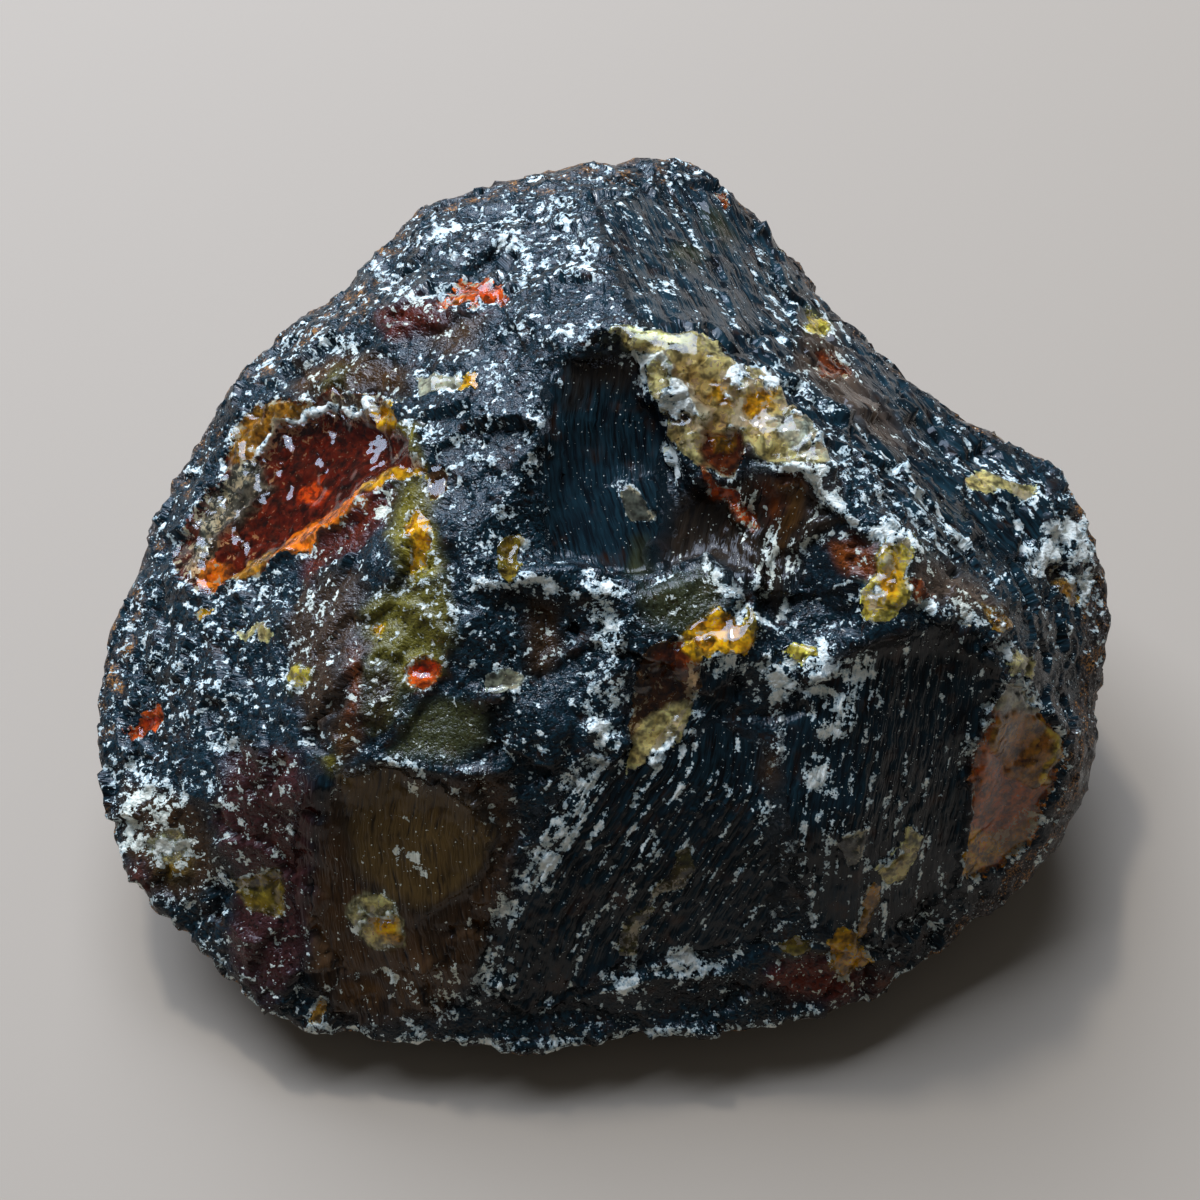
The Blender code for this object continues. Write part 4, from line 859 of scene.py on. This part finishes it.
# Old crust: the skin that lay in the ground, dull brown-black, on the top, the outer rims and the back.
CRUST = {
    "top": ((-28.1, 44.8), (-24.2, 49.1), (-14.3, 53.9), (-3.9, 56), (2.5, 55.2), (8.7, 55.8), (15.1, 54),
        (14.2, 51.3), (4.1, 52.2), (-2.3, 51.3), (-1.3, 50.4), (-9.9, 50.8), (-16.9, 48.7), (-22.9, 46.5),
        (-26.4, 41.7), (-27.7, 36.5), (-29.4, 34.8), (-30.7, 38.3)),
    "left top": ((-47.2, 26.2), (-41.1, 34), (-35.5, 38.3), (-30.7, 41.7), (-28.6, 34.8), (-32.4, 33.1),
        (-39.4, 30.5), (-42.8, 27)),
    "left rim": ((-56.7, 9.3), (-52.8, 17.5), (-48, 24.4), (-46.7, 21.8), (-50.6, 15.3), (-54.1, 8),
        (-56.2, 1.5), (-57.5, -5.4), (-60.6, -14), (-61.4, -20.9), (-63.6, -19.2), (-63.6, -12.3),
        (-61.4, -5.4)),
    "right rim": ((60.7, 14.3), (63, 6.5), (64.8, -2.5), (64.4, -3.2), (63.5, -14.2), (62.1, -22.4),
        (60.7, -28.3), (58, -31.5), (52.1, -38.8), (44.8, -43.4), (42.9, -41.6), (49.8, -36.1),
        (55.3, -31.1), (58.9, -22.4), (60.3, -8.7), (61.2, -0.3), (59.4, 9.7)),
}
WHOLE, WORN_THIN = 1.0, 0.45
bulging = eased(standing_out(60), 6) / MM
hidden = ramp(1 - front + 0.55 * noise_at(places, 5 * MM, 15), 0.4, 0.9) * (1 - ramp(front, 0.7, 1))
crust = hidden * ramp(bulging + 0.25 * noise_at(places, 9 * MM, 5), -0.05, 0.3)
for name, patch in CRUST.items():
    inside = front * ramp(depth_inside(patch, sheet_ragged), -1.2, 1.2)
    thickness = WHOLE if name == "right rim" else WORN_THIN
    crust = np.maximum(crust, thickness * inside)
    crushed = np.maximum(crushed, (1 - thickness) * 0.5 * inside * np.clip(patchy, 0.3, 1.1))


# Chips on every sharp ridge, thickest where the form turns hardest, the back and sides included.
ridge = eased(standing_out(4), 1) / MM
crushed = np.maximum(crushed, 0.75 * ramp(ridge, 0.035, 0.12) * (1 - 0.5 * crust))


# Smooth scars, and how thickly stray chips lie on each. Elsewhere the skin is broken small and strewn
# with them.
SCARS = {
    "hollow": (0.1, ((-5, 29.8), (4.1, 29.8), (8.2, 19.8), (14.2, 13.4), (20.5, 2.9), (-0.5, 2.9),
        (-7.8, 8.8))),
    "black face": (0.8, (
        (32.9, -4.6), (46.6, -2.7), (49.8, -10), (45.7, -20.5), (44.3, -36.1), (36.1, -42.5), (22.4, -42.5),
        (8.7, -44.8), (-7.8, -48.9), (-15.5, -47.5), (-2.3, -24.2), (20.5, -15.5), (27.9, -14.2))),
    "fan": (1.1, (
        (3.2, -19.6), (12.8, -15.1), (18.7, -18.7), (16.9, -26.9), (8.7, -36.1), (-0.5, -46.1),
        (-9.6, -49.8), (-15.5, -45.2), (-7.8, -26.9), (0, -20.5))),
    "brown plate": (0.15, (
        (-31.6, -22.7), (-26.4, -20.5), (-19.9, -22.7), (-13.4, -28.3), (-13, -30.9), (-15.6, -35.2),
        (-19.9, -44.7), (-28.6, -46.9), (-35, -44.7), (-35.9, -29.6))),
    "upper facet": (0.6, ((-1.4, 49), (14.2, 52.7), (20.5, 45.3), (24.2, 33.5), (16.9, 33.5), (4.1, 35.3))),
    "olive depth": (0.2, ((-24.2, -14), (-13.8, -13.1), (-13.8, -18.3), (-19.9, -20.3), (-26.4, -19.2))),
    "right pocket": (0.1, (
        (52.1, -10.7), (58.5, -16.9), (58.8, -21), (53.9, -31.1), (47.5, -35.7), (46.1, -30.6),
        (47.5, -18.7))),
    "left lens": (0.2, ((-41.1, 18.8), (-29.4, 23.1), (-28.6, 18.8), (-30.7, 12.3), (-37.6, 5.6),
        (-44.6, 3.2), (-43.7, 11.5))),
}
STREWN_ELSEWHERE, STREAK_LENGTH = 0.9, 11
COARSE_BREAK, FINE_BREAK, POCKET_BREAK = 5.5 * MM, 2.1 * MM, 1.6 * MM
smooth = np.zeros(len(places))
strewn = np.full(len(places), STREWN_ELSEWHERE)
for share, outline in SCARS.values():
    inside = ramp(depth_inside(outline, sheet_ragged), -1.0, 1.5) * front
    smooth = np.maximum(smooth, inside)
    strewn = strewn * (1 - inside) + share * inside
streaks = noise_at(flow * (1, 1 / STREAK_LENGTH, 1), 1.0, 11)
crushed = np.maximum(crushed, strewn * (0.08 + 0.62 * ramp(streaks, 0.12, 0.5)) * front * (1 - rolled))
crushed = np.maximum(crushed, 0.55 * ramp(streaks, 0.1, 0.5) * (1 - front) * (1 - crust))
crushed = np.maximum(crushed, 0.6 * ramp(-np.abs(clear), -0.8, -0.1) * np.clip(patchy, 0.3, 1.2))
clear -= FAR_OUTSIDE * ramp(crushed, 0.62, 0.85)
rough = 1 - 0.9 * np.maximum(smooth, rolled)
bent = places + np.stack([wander[:, 0], wander[:, 1], wander[:, 0] - wander[:, 1]], axis=1) * 0.6 * MM
lift += rough * tipped_faces(bent, COARSE_BREAK, 0.2, 1) / MM * (1 - 0.5 * crust)
finely_broken = 0.35 + 0.65 * np.clip(crushed * 1.5, 0, 1)
lift += rough * tipped_faces(bent, FINE_BREAK, 0.24, 2) / MM * finely_broken
lift += 0.35 * crust * noise_at(places, 1.7 * MM, 6) + 0.1 * (1 - crust) * noise_at(places, 2.4 * MM, 7)
lift += 0.12 * crushed * noise_at(places, 0.7 * MM, 8, 2)


# Pockets: under each clear flake the break lies deeper, from a thin rim to some millimetres, in faces
# of its own. The flake's own skin keeps the block's height, and nothing reaches past the solid's box.
BOX_MARGIN = 0.02 * MM
LENS_RIM, LENS_DEEPEST, FLAKE_ROOT = 0.25, 3.2, 0.4
low, high = np.array(SOLID_LOW) + BOX_MARGIN, np.array(SOLID_HIGH) - BOX_MARGIN
pocket = np.where(clear > 0, LENS_RIM * ramp(clear, 0, 0.4) + steep * np.maximum(clear, 0), 0)
pocket = np.minimum(pocket, LENS_DEEPEST * (0.75 + 0.25 * noise_at(places, 3 * MM, 9)))
pocket += np.where(clear > 0.5, tipped_faces(bent, POCKET_BREAK, 0.5, 3) / MM, 0)
pocket = np.maximum(pocket, 0) * (1 - 0.85 * ramp(np.abs(ridge), 0.06, 0.16))
over = np.clip(places + normals * ((lift + np.clip(clear * 0.5, -0.3, 0.04)) * MM)[:, None], low, high)
places = np.clip(places + normals * ((lift - pocket) * MM)[:, None], low, high)
under = np.clip(places - normals * (FLAKE_ROOT * MM), low, high)
block.data.vertices.foreach_set("co", places.ravel())
block.data.shade_smooth()
cloud = 0.5 + 0.3 * noise_at(places, 9 * MM, 12)
mottle = 0.5 + 0.3 * noise_at(places, 2.2 * MM, 13)
numbers = np.arange(len(places), dtype=float)
fields = {"clear": clear, "glow": glow, "crushed": crushed, "crust": crust,
          "cloud": cloud, "mottle": mottle, "number": numbers}
for name, values in fields.items():
    block.data.attributes.new(name, "FLOAT", "POINT").data.foreach_set("value", values)
for name, values in {"tint": tint, "flow": flow}.items():
    block.data.attributes.new(name, "FLOAT_VECTOR", "POINT").data.foreach_set("vector", values.ravel())
MOST_TRIANGLES = 197000
lens_skin = block.data.copy()
triangles = sum(len(face.vertices) - 2 for face in block.data.polygons)
thinning = block.modifiers.new("thinning", "DECIMATE")
thinning.ratio = min(1.0, MOST_TRIANGLES / triangles)
settled(block)


# Amber: fossil resin, broken and never polished, so it is glassy in the breaks and dull in the crust.
# At this thickness the dark body lets no light through. What is clear in it has a mesh of its own, below.
amber = new_material("broken_raw_amber")
tree = amber.node_tree
where = add_node(tree, "ShaderNodeTexCoord").outputs["Object"]
facing = add_node(tree, "ShaderNodeNewGeometry").outputs["Normal"]


def field(name, result="Fac"):
    """What is painted on the vertices under this name: a number, or with "Vector" three of them."""
    return add_node(tree, "ShaderNodeAttribute", {"attribute_name": name}).outputs[result]


def grain(size_mm, detail=3.0, rough=0.6):
    """Noise from 0 to 1 in lumps of this many millimetres."""
    noise_node = add_node(tree, "ShaderNodeTexNoise", Vector=where, Scale=1 / (size_mm * MM), Detail=detail,
                          Roughness=rough)
    return noise_node.outputs["Fac"]


def work(operation, first, second=0.0, third=0.0):
    """One Math node's result."""
    math_node = add_node(tree, "ShaderNodeMath", {"operation": operation}, i0=first, i1=second, i2=third)
    return math_node.outputs[0]


def rise(value, low, high):
    """0 below low and 1 above high."""
    range_node = add_node(tree, "ShaderNodeMapRange", {"interpolation_type": "SMOOTHSTEP"}, Value=value,
                          From_Min=low, From_Max=high)
    return range_node.outputs["Result"]


def blended(share, under, over):
    """Two colours mixed: under where share is 0, over where it is 1."""
    mix_node = add_node(tree, "ShaderNodeMix", {"data_type": "RGBA"}, i0=share, i6=under, i7=over)
    return mix_node.outputs[2]


def scaled(vector, share):
    """The vector or colour times a share."""
    return add_node(tree, "ShaderNodeVectorMath", {"operation": "SCALE"}, i0=vector, Scale=share).outputs[0]


def joined(operation, first, second):
    """One Vector Math node's result."""
    return add_node(tree, "ShaderNodeVectorMath", {"operation": operation}, i0=first, i1=second).outputs[0]


INK, NAVY, SHEEN_TEAL, PEAT = linear("#07080A"), linear("#0E161C"), linear("#22444F"), linear("#2C1A10")
ICE, PEARL, STEEL, CREAM = linear("#F8F9EC"), linear("#BDCCC9"), linear("#5C7480"), linear("#E4D8AE")
BARK, RIND, LICHEN, RUST_DUST = linear("#14110F"), linear("#463D38"), linear("#949A9A"), linear("#9A6A38")

# The patterns: clouds of 9 and 2 millimetres, grain of 0.7 and 0.3, and hackle 0.55 wide along each
# blow's path.
HACKLE_SPACING = 0.55
coarse = field("cloud")
middling = field("mottle")
fine = grain(0.7, 2)
finest = grain(0.3, 1)
hackle_steps = (1 / HACKLE_SPACING, 1 / (HACKLE_SPACING * HACKLE_STRETCH), 1.0)
path = joined("MULTIPLY", field("flow", "Vector"), hackle_steps)
hackle = add_node(tree, "ShaderNodeTexNoise", Vector=path, Scale=1.0, Detail=2.0, Roughness=0.65)
hackle = hackle.outputs["Fac"]
height = add_node(tree, "ShaderNodeSeparateXYZ", Vector=facing).outputs["Z"]

# The dark body: ink black, navy and peat brown in clouds, with a painted blue-grey sheen on what faces up:
# the cool window's reflection and the resin's blue daylight glow, laid into its colour.
body = blended(rise(coarse, 0.42, 0.62), INK, NAVY)
body = blended(rise(middling, 0.55, 0.72), body, PEAT)
painted_sheen = work("MULTIPLY", rise(height, 0.15, 0.95), rise(hackle, 0.3, 0.7))
body = blended(work("MULTIPLY", painted_sheen, 0.55), body, SHEEN_TEAL)

# The glow of the brown deep zones is painted into the colour, since the body lets no light through; under
# the clear flakes the breaks show their own colours.
tinted = field("tint", "Vector")
inner = grain(1.3, 2, 0.65)
shade = work("MULTIPLY_ADD", rise(inner, 0.3, 0.72), 1.6, 0.25)
shaded = scaled(tinted, shade)
glow_share = work("MULTIPLY", field("glow"), rise(hackle, 0.2, 0.55))
painted_glow = scaled(tinted, work("MULTIPLY_ADD", coarse, 1.4, 0.08))
colour = blended(glow_share, body, painted_glow)
edge = work("ADD", field("clear"), work("MULTIPLY", work("SUBTRACT", fine, 0.5), 1.4))
window = rise(edge, -0.08, 0.12)
colour = blended(window, colour, shaded)

# Bruised white chips: lumps with lacy edges, thick where the skin is crushed, and stray specks between
# them.
lace = add_node(tree, "ShaderNodeTexNoise", Vector=where, Scale=1 / (1.3 * MM), Detail=3.0, Roughness=0.78)
lace = work("MULTIPLY_ADD", lace.outputs["Fac"], 0.86, 0.07)
lace = work("MULTIPLY_ADD", work("SUBTRACT", hackle, 0.5), 0.35, lace)
thick = work("MULTIPLY_ADD", field("crushed"), 0.34, lace)
specks = rise(finest, 0.735, 0.76)
chips = work("MAXIMUM", rise(thick, 0.68, 0.71), specks)
tone = work("MULTIPLY", work("SUBTRACT", fine, 0.45), 1.6)
tone = work("MULTIPLY_ADD", work("SUBTRACT", thick, 0.63), 4.5, tone)
tone = work("MAXIMUM", tone, work("MULTIPLY", specks, 0.8))
chip_colour = blended(rise(tone, 0.0, 0.45), STEEL, PEARL)
chip_colour = blended(rise(tone, 0.45, 1.0), chip_colour, ICE)
chip_colour = blended(work("MULTIPLY", work("MAXIMUM", window, field("glow")), 0.55), chip_colour, CREAM)
colour = blended(chips, colour, chip_colour)

# Crust: bark brown and grey, with pale and rusty flecks, worn off in patches.
rind = rise(work("ADD", field("crust"), work("MULTIPLY", work("SUBTRACT", middling, 0.5), 1.2)), 0.35, 0.65)
rind_colour = blended(rise(fine, 0.38, 0.6), BARK, RIND)
pale_flecks = rise(work("MULTIPLY_ADD", fine, 0.5, finest), 0.82, 0.95)
rusty_flecks = rise(work("MULTIPLY_ADD", middling, 0.7, finest), 0.94, 1.04)
rind_colour = blended(pale_flecks, rind_colour, LICHEN)
rind_colour = blended(rusty_flecks, rind_colour, RUST_DUST)
rind_bare = work("MULTIPLY", rind, work("SUBTRACT", 1.0, chips))
colour = blended(rind_bare, colour, rind_colour)

# Gloss and relief: the breaks shine, chips and crust are dull, and each small face is tipped its own
# way.
dull = work("MAXIMUM", chips, rind)
gloss = work("MULTIPLY_ADD", window, 0.45, work("MULTIPLY_ADD", hackle, 0.26, 0.02))
roughness = work("MULTIPLY_ADD", dull, 0.35, gloss)
bump_strength = work("MULTIPLY_ADD", window, -0.7, 0.9)
bumps = add_node(tree, "ShaderNodeBump", Strength=bump_strength, Distance=0.3 * MM, Height=hackle)
facet = add_node(tree, "ShaderNodeTexVoronoi", Vector=where, Scale=1 / (1.0 * MM)).outputs["Color"]
tip = joined("SUBTRACT", facet, (0.5, 0.5, 0.5))
tipping = work("MULTIPLY_ADD", rise(work("ADD", field("crushed"), window), 0.1, 0.9), 0.55, 0.1)
tipped = joined("ADD", bumps.outputs["Normal"], scaled(tip, tipping))
tipped = add_node(tree, "ShaderNodeVectorMath", {"operation": "NORMALIZE"}, i0=tipped).outputs[0]
resin = add_node(tree, "ShaderNodeBsdfPrincipled", Base_Color=colour, Roughness=roughness, IOR=AMBER_IOR,
                 Specular_IOR_Level=0.22, Normal=tipped)
add_node(tree, "ShaderNodeOutputMaterial", Surface=resin.outputs[0])
block.data.materials.append(amber)
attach(block, "root")
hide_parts("raw_amber")


# The clear flakes: the same resin where nothing clouds it, so that light goes down to the break beneath
# and back. Each fills its pocket in the block, thin at the rim and some millimetres thick in the
# middle, and is fused to it: the flakes are a mesh of their own only so that light can pass through
# them. Left out are corners where two flakes only touch, and crumbs too small to be seen as clear.
FLAKE_HEM, FEWEST_FACES = 0.55, 20


def pinched(mesh):
    """The vertices at which two stretches of the mesh's rim only touch."""
    return {vert for vert in mesh.verts if sum(edge.is_boundary for edge in vert.link_edges) > 2}


lenses = bpy.data.objects.new("clear_flakes", lens_skin)
scene.collection.objects.link(lenses)
form = bmesh.new()
form.from_mesh(lens_skin)
form.verts.ensure_lookup_table()
for vert in form.verts:
    vert.co = over[vert.index]
away = [face for face in form.faces if min(clear[vert.index] for vert in face.verts) < -FLAKE_HEM]
bmesh.ops.delete(form, geom=away, context="FACES")
while touching := pinched(form):
    around = {face for vert in touching for face in vert.link_faces}
    bmesh.ops.delete(form, geom=list(around), context="FACES")
rest, crumbs = set(form.faces), set()
while rest:
    flake, rim = set(), {next(iter(rest))}
    while rim:
        flake |= rim
        rim = {near for face in rim for edge in face.edges for near in edge.link_faces} - flake
    rest -= flake
    if len(flake) < FEWEST_FACES:
        crumbs |= flake
bmesh.ops.delete(form, geom=list(crumbs), context="FACES")
number = form.verts.layers.float["number"]
extruded = bmesh.ops.extrude_face_region(form, geom=form.faces[:])
for vert in extruded["geom"]:
    if isinstance(vert, bmesh.types.BMVert):
        vert.co = under[int(vert[number] + 0.5)]
bmesh.ops.recalc_face_normals(form, faces=form.faces[:])
form.to_mesh(lens_skin)
form.free()
lens_skin.shade_smooth()

# Clear honey amber, as broken: a glassy skin, and a body that holds back blue first, so that it deepens
# from yellow at the thin rims to orange and red-brown where it is thick.
clear_amber = new_material("clear_honey_amber")
tree = clear_amber.node_tree
lens = add_node(tree, "ShaderNodeBsdfPrincipled", Base_Color=linear("#FFF6E2"), Roughness=0.05,
                IOR=AMBER_IOR, Specular_IOR_Level=0.15, Transmission_Weight=1.0)
honey = add_node(tree, "ShaderNodeVolumeAbsorption", Color=linear("#F4B23A"), Density=260.0)
add_node(tree, "ShaderNodeOutputMaterial", Surface=lens.outputs[0], Volume=honey.outputs[0])
lens_skin.materials.clear()
lens_skin.materials.append(clear_amber)
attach(lenses, "root")
